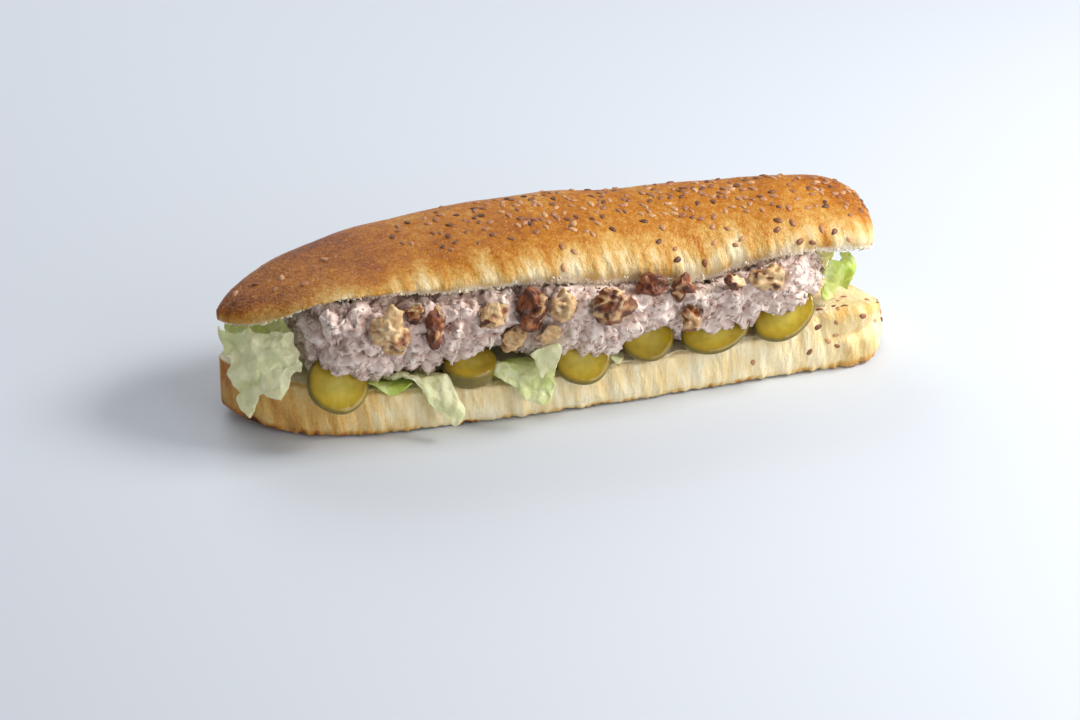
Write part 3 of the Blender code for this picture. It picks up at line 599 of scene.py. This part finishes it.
# Rings of points, each with its bake, crumb and chances of seeds and of crumbs
def loafMesh(name, rings, look):
    count = len(rings[0])
    points = [entry[0] * mm for ring in rings for entry in ring]
    values = [entry[1:] for ring in rings for entry in ring]
    faces = []
    for r in range(len(rings) - 1):
        for k in range(count):
            a, b = r * count + k, r * count + (k + 1) % count
            faces.append((a, b, b + count, a + count))
    for start in (0, (len(rings) - 1) * count):
        middle = sum((points[start + k] for k in range(count)), Vector()) / count
        points.append(middle)
        endBake = values[start + count // 4][0]
        values[start:start + count] = [(endBake, 0.0, 0.0, 0.0)] * count    # crust over the whole end
        values.append((endBake, 0.0, 0.0, 0.0))
        last = len(points) - 1
        for k in range(count):
            faces.append((start + k, start + (k + 1) % count, last))
    mesh = bpy.data.meshes.new(name)
    mesh.from_pydata(points, [], faces)
    builder = bmesh.new()
    builder.from_mesh(mesh)
    bmesh.ops.recalc_face_normals(builder, faces=builder.faces)
    builder.to_mesh(mesh)
    builder.free()
    for index, label in enumerate(("bake", "crumb", "scatterChance", "rimChance")):
        store(mesh, label, [value[index] for value in values])
    mesh.shade_smooth()
    return newPiece(name, mesh, look)


# From the front edge down, under, up the back and over the cut
def lowerRing(x):
    at = Station(x)
    fade = smooth(at.width, *roll["fadeWidths"])
    golden = lower["leftGold"] * (1 - smooth(x, -118, -30))
    golden += lower["tipGold"] * (1 - smooth(x, -137, -118))
    endGlow = lower["endGlow"] * smooth(x, 90, 125)
    steps = lower["sideSteps"]
    crumbShare = 1 - 0.85 * smooth(x, 96, 118)    # the crust closes over the cut at the right end
    ring = []

    def sidePoint(side, share):
        z = at.floor + (at.edge[side] - at.floor) * share
        reach = at.lowerReach(z, side)
        point = Vector((x, side * reach, z))
        relief = softRelief(point, 1.0) * (1 if 0 < share < 1 else 0)
        relief += crustGrain(point, lower, 1.0, side) * smooth(share, 0.0, 0.08)
        foot = 1 - smooth(share, 0.02, 0.17)
        crag = lower["crag"] * rough(x / 3.1, side * 12.9, share * 2)
        crag += lower["fineCrag"] * rough(x / 1.4, side * 7.3, share * 5)
        relief += crag * foot
        rounding = smooth(share, 0.84, 1.0)
        relief -= lower["edgeRound"] * rounding**2 * (1 + 0.4 * rough(x / 4.0, 3.0, side))
        fromCrease = z - lower["creaseZ"] - 1.5 * rough(x / 12, 0.0, side)
        relief -= lower["creaseDepth"] * bell(fromCrease, lower["creaseHalf"]) * smooth(x, 104, 122)
        upperEdgeBake = endGlow * 1.6 * smooth(share, 0.72, 0.95)
        patch = 0.36 + rough(x / 13.0, side * 3.0, 0.0) + 0.5 * rough(x / 3.7, side * 5.0, 2.0)
        slanted = x + roll["slant"] * z
        bake = 0.1 + golden + endGlow + upperEdgeBake + foot * (0.1 + 0.9 * max(patch, 0.0) ** 2)
        bake += 0.12 * rough(x / 14, side, share * 2) + 0.16 * rough(slanted / 3.2, side * 9.0, z / 15)
        chance = smooth(x, 62, 100) * smooth(share, 0.2, 0.35) if side < 0 else 0.0
        y = at.centre + side * (reach + relief * fade)
        z += (0.7 * rough(x / 9, side, 2.0) - lower["edgeDrop"] * rounding) * rounding * fade
        if share == 0:
            z += lower["rimLift"]
        return Vector((x, y, z)), bake, 0.7 * crumbShare * smooth(share, 0.96, 1.0), chance, 0.0

    for k in range(steps + 1):
        ring.append(sidePoint(-1, 1 - k / steps))
    middle = 0.0 if lower["flatLeft"] <= x <= lower["flatRight"] else at.centre
    for k in range(lower["baseSteps"] + 1):
        y = middle + at.flatHalf * (2 * k / lower["baseSteps"] - 1)
        ring.append((Vector((x, y, at.floor)), 0.5 + golden * 0.4, 0.0, 0.0, 0.0))
    for k in range(steps + 1):
        ring.append(sidePoint(1, k / steps))
    back, front, steps = ring[-1][0].y, ring[0][0].y, lower["cutSteps"]
    for k in range(1, steps):
        y = back + (front - back) * k / steps
        inner = min(min(k, steps - k) / 5, 1)
        side = 1 if k < steps / 2 else -1
        pores = crumbPores(x, y, -0.45, (7.5, 3.0, 9.0))
        edge = (0.7 * rough(x / 9, side, 2.0) - lower["edgeDrop"]) * (1 - smooth(inner, 0, 1))
        z = at.lowerCut(y) + (pores * inner + edge) * fade
        chance = 0.8 * smooth(x, 100, 112) * (1 - smooth(x, 128, 134)) if side < 0 else 0.0
        ring.append((Vector((x, y, z)), 0.14 + endGlow, crumbShare * (0.75 + inner * 0.25), chance, 0.0))
    return ring


# Thick on the crown, with fewer toward the left tip and down the front
def topSeedChance(x, turn):
    along = 0.08 + 0.92 * smooth(x, -80, -15)
    crown = bell(turn - 0.47, 0.13)
    side = 0.3 * smooth(x, 10, 95) * smooth(turn, 0.05, 0.14) * (1 - smooth(turn, 0.7, 0.9))
    return along * max(crown, side) * (1 - smooth(turn, 0.75, 0.85))


# From the front edge over the crown to the back edge, and back under the cut
def upperRing(x):
    at = Station(x)
    fade = smooth(at.upperWidth, *roll["fadeWidths"])
    steps = upper["crustSteps"]
    left = 1 - smooth(x, -115, -15)
    tip = 1 - smooth(x, -137, -126)
    rightEnd = smooth(x, 75, 125)
    ring = []
    for k in range(steps + 1):
        turn = k / steps
        point = at.upperCrust(turn)
        side = -1 if turn < 0.5 else 1
        sideways = abs(turn - 0.5) * 2
        rise = 1 - sideways
        out = Vector((0.0, point.y - at.upperCentre, point.z - at.upperCut(point.y)))
        rimWidth = 0.13 + 0.08 * rough(x / 3.5, side, 5.0) + 0.28 * max(rough(x / 13, side, 8.0), 0.0)
        rim = 1 - smooth(rise, 0.0, max(rimWidth, 0.02))
        if out.length > 0.1:
            relief = softRelief(point, sideways) * (1 if 0 < turn < 1 else 0)
            relief += crustGrain(point, upper, smooth(sideways, 0.25, 0.9), side)
            relief += rim * 0.55 * rough(x / 1.3, side * 4.0, rise * 60)
            point += out.normalized() * relief * fade
        ragged = 1.0 * rough(x / 2.1, side * 2.0, 1.0) + 0.6 * rough(x / 0.9, side, 4.0) - 0.6
        point.z += rim**2 * ragged * fade
        slanted = x + roll["slant"] * point.z
        bake = upper["baseBake"] + upper["crownBake"] * smooth(rise, 0.16, 0.78) + 0.03 * rightEnd
        bake += left * 0.13 + 0.03 * tip + 0.12 * rough(x / 18, turn * 4, 2.0)
        streaked = smooth(sideways, 0.25, 0.7) * (1 - 0.6 * left)
        bake += 0.2 * rough(slanted / 2.9, side * 9.0, point.z / 15) * streaked
        bake += 0.42 * rough(slanted / 7.5, side * 2.0, point.z / 30) * streaked
        ring.append((point, bake, rim, topSeedChance(x, turn), rim))
    back, front, steps = ring[-1][0].y, ring[0][0].y, upper["cutSteps"]
    for k in range(1, steps):
        y = back + (front - back) * k / steps
        inner = min(k, steps - k) / 4
        pores = crumbPores(x, y, 0.5, (4.2, 1.0, 6.0))
        z = at.upperCut(y) + (pores * min(inner, 1) - 0.6 * (1 - smooth(inner, 0, 1))) * fade
        ring.append((Vector((x, y, z)), 0.1, 1.0, 0.0, 1 - limit(inner * 0.6, 0, 1)))
    return ring


breadBottom = loafMesh("breadBottom", [lowerRing(x) for x in stationPlaces(
    roll["leftTip"], roll["rightEnd"], lower["stations"])], looks["bottomCrust"])
breadTop = loafMesh("breadTop", [upperRing(x) for x in stationPlaces(
    roll["leftTip"], roll["upperRightEnd"], upper["stations"])], looks["topCrust"])

print("stage 3: scattered seeds, crumbs and flakes")

scatterInputs = ("Densest", "Gap", "Seed", "Size", "Smallest", "Largest", "Taper", "Sunk", "Tilt",
                 "Unevenness", "Darkest", "Palest", "Material")
scatterKinds = {"Seed": "Int", "Size": "Vector", "Material": "Material"}    # the others are Float


# Small bodies spread by a stored chance, round with roundSteps and coarse without
def scatterTree(name, chanceName, roundSteps):
    tree = bpy.data.node_groups.new("scatter_" + name, "GeometryNodeTree")
    tree.interface.new_socket(name="Geometry", in_out="INPUT", socket_type="NodeSocketGeometry")
    for label in scatterInputs:
        kind = "NodeSocket" + scatterKinds.get(label, "Float")
        tree.interface.new_socket(name=label, in_out="INPUT", socket_type=kind)
    tree.interface.new_socket(name="Geometry", in_out="OUTPUT", socket_type="NodeSocketGeometry")
    given = tree.nodes.new("NodeGroupInput").outputs

    def step(kind, geometry, values=None, **settings):
        sockets = {"Geometry": geometry, **(values or {})}
        return addNode(tree, "GeometryNode" + kind, sockets, **settings).outputs["Geometry"]

    def vector(x, y, z):
        return addNode(tree, "ShaderNodeCombineXYZ", {"X": x, "Y": y, "Z": z}).outputs["Vector"]

    def scaled(way, amount):
        return addNode(tree, "ShaderNodeVectorMath", {0: way, "Scale": amount},
                       operation="SCALE").outputs["Vector"]

    def drawn(low, high, seed):
        return addNode(tree, "FunctionNodeRandomValue", {2: low, 3: high, "Seed": seed},
                       data_type="FLOAT").outputs[1]

    # points, sunk a little into the surface
    chance = addNode(tree, "GeometryNodeInputNamedAttribute", {"Name": chanceName}, data_type="FLOAT")
    spread = addNode(tree, "GeometryNodeDistributePointsOnFaces",
                     {"Mesh": given["Geometry"], "Distance Min": given["Gap"],
                      "Density Max": given["Densest"], "Density Factor": chance.outputs["Attribute"],
                      "Seed": given["Seed"]}, distribute_method="POISSON").outputs
    down = scaled(spread["Normal"], maths(tree, "MULTIPLY", given["Sunk"], -1.0))
    sunk = step("SetPosition", spread["Points"], {"Offset": down})

    # one body, narrower toward one end
    if roundSteps:
        ball = addNode(tree, "GeometryNodeMeshUVSphere",
                       {"Segments": roundSteps[0], "Rings": roundSteps[1], "Radius": 0.5})
        shape = step("Transform", ball.outputs["Mesh"], {"Rotation": (0.0, math.pi / 2, 0.0)})
    else:
        ball = addNode(tree, "GeometryNodeMeshIcoSphere", {"Radius": 0.5, "Subdivisions": 1})
        shape = ball.outputs["Mesh"]
    here = addNode(tree, "GeometryNodeInputPosition").outputs["Position"]
    spot = addNode(tree, "ShaderNodeSeparateXYZ", {"Vector": here}).outputs
    share = maths(tree, "MULTIPLY_ADD", spot["X"], maths(tree, "MULTIPLY", given["Taper"], -2.0), 1.0)
    thinner = maths(tree, "MULTIPLY", spot["Y"], share)
    tapered = step("SetPosition", shape, {"Position": vector(spot["X"], thinner, spot["Z"])})
    body = step("Transform", tapered, {"Scale": given["Size"]})

    # turned, sized and toned by chance
    tilt, tiltBack = given["Tilt"], maths(tree, "MULTIPLY", given["Tilt"], -1.0)
    spin = addNode(tree, "FunctionNodeRandomValue",
                   {0: vector(tiltBack, tiltBack, -math.pi), 1: vector(tilt, tilt, math.pi), "Seed": 3},
                   data_type="FLOAT_VECTOR").outputs[0]
    turn = addNode(tree, "FunctionNodeEulerToRotation", {0: spin}).outputs[0]
    facing = addNode(tree, "FunctionNodeRotateRotation",
                     {"Rotation": spread["Rotation"], "Rotate By": turn},
                     rotation_space="LOCAL").outputs["Rotation"]
    placed = addNode(tree, "GeometryNodeInstanceOnPoints",
                     {"Points": sunk, "Instance": body, "Rotation": facing,
                      "Scale": drawn(given["Smallest"], given["Largest"], 7)}).outputs["Instances"]
    tone = drawn(given["Darkest"], given["Palest"], 11)
    toned = step("StoreNamedAttribute", placed, {"Name": "tone", "Value": tone}, data_type="FLOAT",
                 domain="INSTANCE")

    # real meshes, made uneven and painted
    real = step("RealizeInstances", toned)
    wobble = addNode(tree, "ShaderNodeTexNoise", {"Scale": 1100.0, "Detail": 1.0}).outputs["Color"]
    centred = addNode(tree, "ShaderNodeVectorMath", {0: wobble, 1: (0.5, 0.5, 0.5)},
                      operation="SUBTRACT").outputs["Vector"]
    uneven = step("SetPosition", real, {"Offset": scaled(centred, given["Unevenness"])})
    painted = step("SetMaterial", uneven, {"Material": given["Material"]})
    result = tree.nodes.new("NodeGroupOutput")
    tree.links.new(step("SetShadeSmooth", painted), result.inputs["Geometry"])
    return tree


def scatter(name, ground, chanceName, settings, look, roundSteps=None):
    carrier = linked(name + "Carrier", ground.data)
    step = carrier.modifiers.new("scatter", "NODES")
    step.node_group = scatterTree(name, chanceName, roundSteps)
    values = dict(settings, Material=look)
    for socket in step.node_group.interface.items_tree:
        if socket.in_out == "INPUT" and socket.name in values:
            step[socket.identifier] = values[socket.name]
    piece = finished(carrier, name, look)
    piece.data.name = name
    print(name, len(piece.data.polygons), "faces")
    return piece


topSeedLook = {"Densest": 70000.0, "Gap": 0.0022, "Seed": 5, "Size": (0.0033, 0.0021, 0.0013),
               "Smallest": 0.85, "Largest": 1.2, "Taper": 0.3, "Sunk": 0.0001, "Tilt": 0.16,
               "Unevenness": 0.0002, "Darkest": 0.0, "Palest": 1.0}
topSeeds = scatter("topSeeds", breadTop, "scatterChance", topSeedLook, looks["seed"], (10, 8))
sideSeedLook = dict(topSeedLook, Densest=14000.0, Gap=0.004, Seed=2)
sideSeeds = scatter("sideSeeds", breadBottom, "scatterChance", sideSeedLook, looks["seed"], (10, 8))
rimCrumbLook = {"Densest": 700000.0, "Gap": 0.001, "Seed": 9, "Size": (0.0024, 0.0015, 0.0008),
                "Smallest": 0.3, "Largest": 1.1, "Taper": 0.0, "Sunk": 0.0, "Tilt": 1.5,
                "Unevenness": 0.0018, "Darkest": 0.0, "Palest": 0.9}
rimCrumbs = scatter("rimCrumbs", breadTop, "rimChance", rimCrumbLook, looks["crumb"])

print("stage 4: tuna salad")

# The clump and bit amounts below set how much darker the tuna is painted in the hollows between its clumps
# and bits: painted shade
tuna = {"voxel": 0.00074, "clumps": ((13.0, 3.6), (6.5, 3.0)), "bits": ((3.1, 1.5), (1.6, 1.0)),
        "clumpShade": 0.3, "bitShade": 0.24, "underTop": 0.25, "overBottom": 0.4, "nutShare": 0.62,
        "aroundNuts": 3.0, "sag": 2.2}


# The solid heap, moved into clumps that give way to the nuts and stay within the bread
def makeTuna():
    piece = newPiece("tunaRough", meshFrom(mergedCopy("tuna_salad"), "tunaRough"), looks["tuna"])
    step = piece.modifiers.new("even", "REMESH")
    step.mode, step.voxel_size = "VOXEL", tuna["voxel"]
    piece = finished(piece, "tunaSalad", looks["tuna"])
    mesh = piece.data
    nuts = []
    for nodeName in nodes:
        if nodeName.startswith("walnut"):
            low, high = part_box(nodeName)
            nuts.append(((low + high) / 2 / mm, (high - low).length / 2 / mm * tuna["nutShare"]))
    stations, tones, moved = {}, [], []
    for point, normal in zip(*placesAndNormals(mesh)):
        move, tone = -0.6, 0.0
        # Each clump and bit is painted lighter where it stands out and darker in the hollows around it:
        # painted shade
        for length, depth in tuna["clumps"]:
            valley = abs(grainAt(point, length, length))
            hill = min(valley * 2.2, 1.0) ** 0.6
            move += depth * (hill - 0.45)
            tone += tuna["clumpShade"] * (hill - 0.48)
        for length, depth in tuna["bits"]:
            value = grainAt(point, length, length)
            move += depth * value
            tone += tuna["bitShade"] * value
        near = min((point - centre).length - radius for centre, radius in nuts)
        if near < tuna["aroundNuts"]:
            share = smooth(near, 0.0, tuna["aroundNuts"])
            move = move * share + (1 - share) * min(move, -0.2)
        point = point + normal * move
        key = round(point.x)
        if key not in stations:
            stations[key] = Station(key)
        at = stations[key]
        above = point.z - at.lowerCut(point.y)
        point.z -= tuna["sag"] * (1 - smooth(above, 2.0, 11.0))
        point.z = min(point.z, at.upperCut(point.y) - tuna["underTop"])
        point.z = max(point.z, at.lowerCut(point.y) + tuna["overBottom"])
        moved.append(point)
        # Painted shade: the tuna's tone is made darker toward the left end, where less light falls
        tones.append(0.4 + 0.08 * smooth(point.x, -90, 20) + tone)
    reshape(mesh, moved)
    store(mesh, "tone", tones)
    store(mesh, "flakeChance", [1.0] * len(mesh.vertices))
    mesh.shade_smooth()
    print("tunaSalad", len(mesh.polygons), "faces")
    return piece


tunaSalad = makeTuna()
flakeLook = {"Densest": 150000.0, "Gap": 0.0011, "Seed": 4, "Size": (0.0038, 0.0013, 0.001),
             "Smallest": 0.4, "Largest": 1.2, "Taper": 0.2, "Sunk": 0.0001, "Tilt": 0.8,
             "Unevenness": 0.0022, "Darkest": 0.2, "Palest": 0.85}
tunaFlakes = scatter("tunaFlakes", tunaSalad, "flakeChance", flakeLook, looks["tuna"])

print("stage 5: walnut pieces")

walnuts = {
    "planes": 2, "flattened": 0.92, "lobes": 0.42, "wrinkle": 1.5, "wrinkleLength": 4.0,
    "fineWrinkle": 0.4, "fineLength": 1.3, "patchLength": 4.5,
    # how much larger each piece shows than its solid, along x, y and z
    "grow": {"walnut_front_1": (1.15, 0.9, 1.22), "walnut_front_3": (1.1, 1.0, 1.2),
             "walnut_front_4": (1.2, 1.0, 1.15), "walnut_front_5": (1.15, 1.0, 1.08),
             "walnut_front_7": (1.2, 1.0, 1.2), "walnut_front_12": (1.3, 1.0, 1.0),
             "walnut_front_14": (1.3, 1.0, 1.1)},
    # share of dark skin on each piece, front ones first
    "front": (0.32, 0.75, 0.85, 0.38, 0.82, 0.2, 0.65, 1.1, 0.8, 0.5, 0.9, 0.36, 0.3, 0.42),
    "back": (0.4, 0.7, 0.2, 0.8, 0.3),
}


# Lobes and wrinkles, with broken faces where planes cut the piece
def makeWalnut(nodeName, number, skinShare):
    piece = subdivided(mergedCopy(nodeName), "walnut", looks["walnut"], 1, 2)
    mesh = piece.data
    points, normals = placesAndNormals(mesh)
    centre = sum(points, Vector()) / len(points)
    grow = walnuts["grow"].get(nodeName, (1.1, 1.0, 1.1))
    spots = [(point - centre) * Vector(grow) for point in points]
    cuts = []
    for k in range(walnuts["planes"]):
        facing = noise.random_unit_vector()
        far = max(spot.dot(facing) for spot in spots)
        cuts.append((facing, far * (0.5 + 0.3 * noise.random())))
    skin, moved = [], []
    for normal, spot in zip(normals, spots):
        own = (spot.x + number * 31, spot.y, spot.z)
        cutDepth = 0.0
        way = spot.normalized() * 1.3
        spot = spot * (1 + walnuts["lobes"] * rough(way.x + number * 7, way.y, way.z))
        wrinkle = 0.45 - 1.9 * abs(grainAt(own, walnuts["wrinkleLength"]))
        spot = spot + normal * walnuts["wrinkle"] * wrinkle
        for facing, far in cuts:
            over = spot.dot(facing) - far
            if over > 0:
                spot = spot - facing * over * walnuts["flattened"]
                cutDepth = max(cutDepth, over)
        spot = spot + normal * walnuts["fineWrinkle"] * grainAt(own, walnuts["fineLength"])
        patch = grainAt(own, walnuts["patchLength"])
        skin.append(skinShare + 0.55 * patch - 0.35 * wrinkle - 0.3 * min(cutDepth, 0.8))
        moved.append(centre + spot)
    reshape(mesh, moved)
    store(mesh, "skin", skin)
    mesh.shade_smooth()
    return piece


noise.seed_set(21)
walnutNodes, walnutPieces = {}, {}
for side in ("front", "back"):
    name, shares = "walnut" + side.title(), walnuts[side]
    walnutNodes[name] = [f"walnut_{side}_{k}" for k in range(1, len(shares) + 1)]
    made = [makeWalnut(walnutNodes[name][k], k + 1, share) for k, share in enumerate(shares)]
    walnutPieces[name] = joined(name, made, looks["walnut"])

print("stage 6: pickle slices")

pickles = {"rings": 30, "around": 120, "rimRound": 0.16, "grain": 0.16, "coreDip": 0.12, "swell": 0.35,
           "front": 6, "back": 3}


# A round slice with the place, tilt and size of its solid, and a shallow dip around its core
def makePickle(nodeName, number):
    source = mergedCopy(nodeName)
    points = np.array([vert.co[:] for vert in source.verts])
    source.free()
    centre = points.mean(axis=0)
    spread, axes = np.linalg.eigh(np.cov((points - centre).T))
    normal, short, long = (Vector(axes[:, k]) for k in range(3))
    if normal.z < 0:
        normal.negate()
    long = short.cross(normal)
    spots = [Vector(point - centre) for point in points]
    half = max(abs(spot.dot(normal)) for spot in spots) * 0.97
    reach = [max(abs(spot.dot(axis)) for spot in spots) for axis in (long, short)]
    rings, around = pickles["rings"], pickles["around"]
    pairs = [(j, (j + 1) % around) for j in range(around)]
    builder = bmesh.new()
    radii = {}

    def at(level, r, angle):
        lobes = 1 + 0.012 * math.sin(5 * angle + number)
        edge = math.sqrt(max(1 - ((r - 1 + pickles["rimRound"]) / pickles["rimRound"]) ** 2, 0.0))
        edge = edge if r > 1 - pickles["rimRound"] else 1.0
        u, v = r * lobes * reach[0] * math.cos(angle), r * lobes * reach[1] * math.sin(angle)
        grain = pickles["grain"] * mm * rough(u / mm / 2.2, v / mm / 2.2, number * 5 + level)
        dip = pickles["coreDip"] * mm * bell(r - 0.45, 0.1) * (0.6 + 0.4 * math.sin(3 * angle + number))
        w = level * half * (0.45 + 0.55 * edge) + grain * (1 if r < 0.95 else 0.3) - level * dip
        return Vector(centre) + long * u + short * v + normal * w

    layers = []
    for level in (1, -1):
        middle = builder.verts.new(at(level, 0.0, 0.0))
        radii[middle] = 0.0
        loops = []
        for k in range(1, rings + 1):
            r = (k / rings) ** 0.8
            loop = [builder.verts.new(at(level, r, 2 * math.pi * j / around)) for j in range(around)]
            for vert in loop:
                radii[vert] = r
            loops.append(loop)
        for j, after in pairs:
            builder.faces.new((middle, loops[0][j], loops[0][after]))
            for near, far in zip(loops, loops[1:]):
                builder.faces.new((near[j], far[j], far[after], near[after]))
        layers.append(loops[-1])
    previous = layers[0]
    for share in (0.33, 0.0, -0.33):
        loop = []
        for j in range(around):
            top, bottom = layers[0][j].co, layers[1][j].co
            outward = (top - Vector(centre)).normalized()
            swell = pickles["swell"] * mm * (1 - share * share * 4)
            loop.append(builder.verts.new(bottom.lerp(top, 0.5 + share) + outward * swell))
            radii[loop[-1]] = 1.0
        for j, after in pairs:
            builder.faces.new((previous[j], previous[after], loop[after], loop[j]))
        previous = loop
    for j, after in pairs:
        builder.faces.new((previous[j], previous[after], layers[1][after], layers[1][j]))
    bmesh.ops.recalc_face_normals(builder, faces=builder.faces)
    values = [radii[vert] for vert in builder.verts]
    mesh = meshFrom(builder, "pickle")
    store(mesh, "radius", values)
    mesh.shade_smooth()
    return newPiece("pickle", mesh, looks["pickle"])


pickleNodes, picklePieces = {}, {}
for side in ("front", "back"):
    name = "pickle" + side.title()
    pickleNodes[name] = [f"pickle_{side}_{k}" for k in range(1, pickles[side] + 1)]
    made = [makePickle(node, k) for k, node in enumerate(pickleNodes[name])]
    picklePieces[name] = joined(name, made, looks["pickle"])

print("stage 7: lettuce")

# how green each leaf is, how deep its ruffles are in millimetres, its size against its solid,
# how many millimetres it is moved, and how far its foot leans forward
leaves = {
    "lettuce_bed": (0.0, 0.6, (1.0, 1.0, 1.0), (0, 0, -0.7)),
    "lettuce_left_outer": (0.1, 2.6, (1.12, 1.0, 1.0), (0, 0, 3)),
    "lettuce_left_curl": (0.4, 2.0, (1.4, 1.2, 1.4)),
    "lettuce_left_back": (0.3, 1.8, (1.1, 1.0, 1.1)),
    "lettuce_front_sliver": (0.75, 0.9, (1.6, 1.1, 1.2)),
    "lettuce_front_drape": (0.06, 1.7, (1.8, 1.3, 1.8), (-3, -2.2, 2.5), 0.2),
    "lettuce_front_fold": (0.34, 1.8, (1.5, 1.3, 1.9), (-2, -2.7, 3), 0.45),
    "lettuce_front_chip": (0.02, 1.2, (1.4, 1.1, 1.5), (2, -1, 2)),
    "lettuce_front_tuck": (0.2, 0.7, (1.2, 1.1, 1.1)),
    "lettuce_right_tip": (0.6, 2.6, (1.25, 1.1, 1.25)),
    "lettuce_right_back": (0.2, 1.8, (1.2, 1.1, 1.2)),
    "lettuce_back_drape": (0.2, 1.3, (1.2, 1.1, 1.1)),
    "lettuce_back_fold": (0.5, 1.1, (1.2, 1.1, 1.1)),
}
# length of each wave in millimetres, where its noise starts, and its share of the ruffle
leafWaves = ((8.0, (0, 0, 0), 1.0), (3.8, (9, 2, 5), 0.6), (1.8, (2, 7, 1), 0.16))


def makeLeaf(nodeName, green, ruffle, size, shift=(0, 0, 0), lean=0.0):
    builder = mergedCopy(nodeName)
    bmesh.ops.join_triangles(builder, faces=builder.faces, angle_face_threshold=0.8,
                             angle_shape_threshold=1.2)
    name = "leaf" + "".join(word.title() for word in nodeName.split("_")[1:])
    piece = subdivided(builder, name, looks["lettuce"], 3)
    mesh = piece.data
    greens, moved = [], []
    points = placesAndNormals(mesh)[0]
    centre = sum(points, Vector()) / len(points)
    for point in points:
        point = centre + (point - centre) * Vector(size) + Vector(shift)
        point.y += lean * (point.z - centre.z)
        wave = Vector()
        for length, start, share in leafWaves:
            wave += noise.noise_vector(point / length + Vector(start)) * ruffle * share
        greens.append(green + 0.3 * grainAt(point, 8))
        moved.append(point + wave)
    reshape(mesh, moved)
    store(mesh, "green", greens)
    mesh.shade_smooth()
    return piece


leafPieces = {node: makeLeaf(node, *values) for node, values in leaves.items()}

print("stage 8: riding and replacing")

for piece, slot in ((breadTop, "golden_crust"), (breadBottom, "pale_crust"), (topSeeds, "golden_crust"),
                    (sideSeeds, "pale_crust"), (rimCrumbs, "golden_crust"), (tunaSalad, "tuna_salad"),
                    (tunaFlakes, "tuna_salad")):
    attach(piece, "root")
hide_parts("bread_top")
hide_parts("bread_bottom")
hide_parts("tuna_salad")
for pieces, parts, slot in ((walnutPieces, walnutNodes, "walnut"), (picklePieces, pickleNodes, "pickle")):
    for name, piece in pieces.items():
        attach(piece, "root")
        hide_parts(*parts[name])
for node, piece in leafPieces.items():
    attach(piece, "root")
    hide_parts(node)
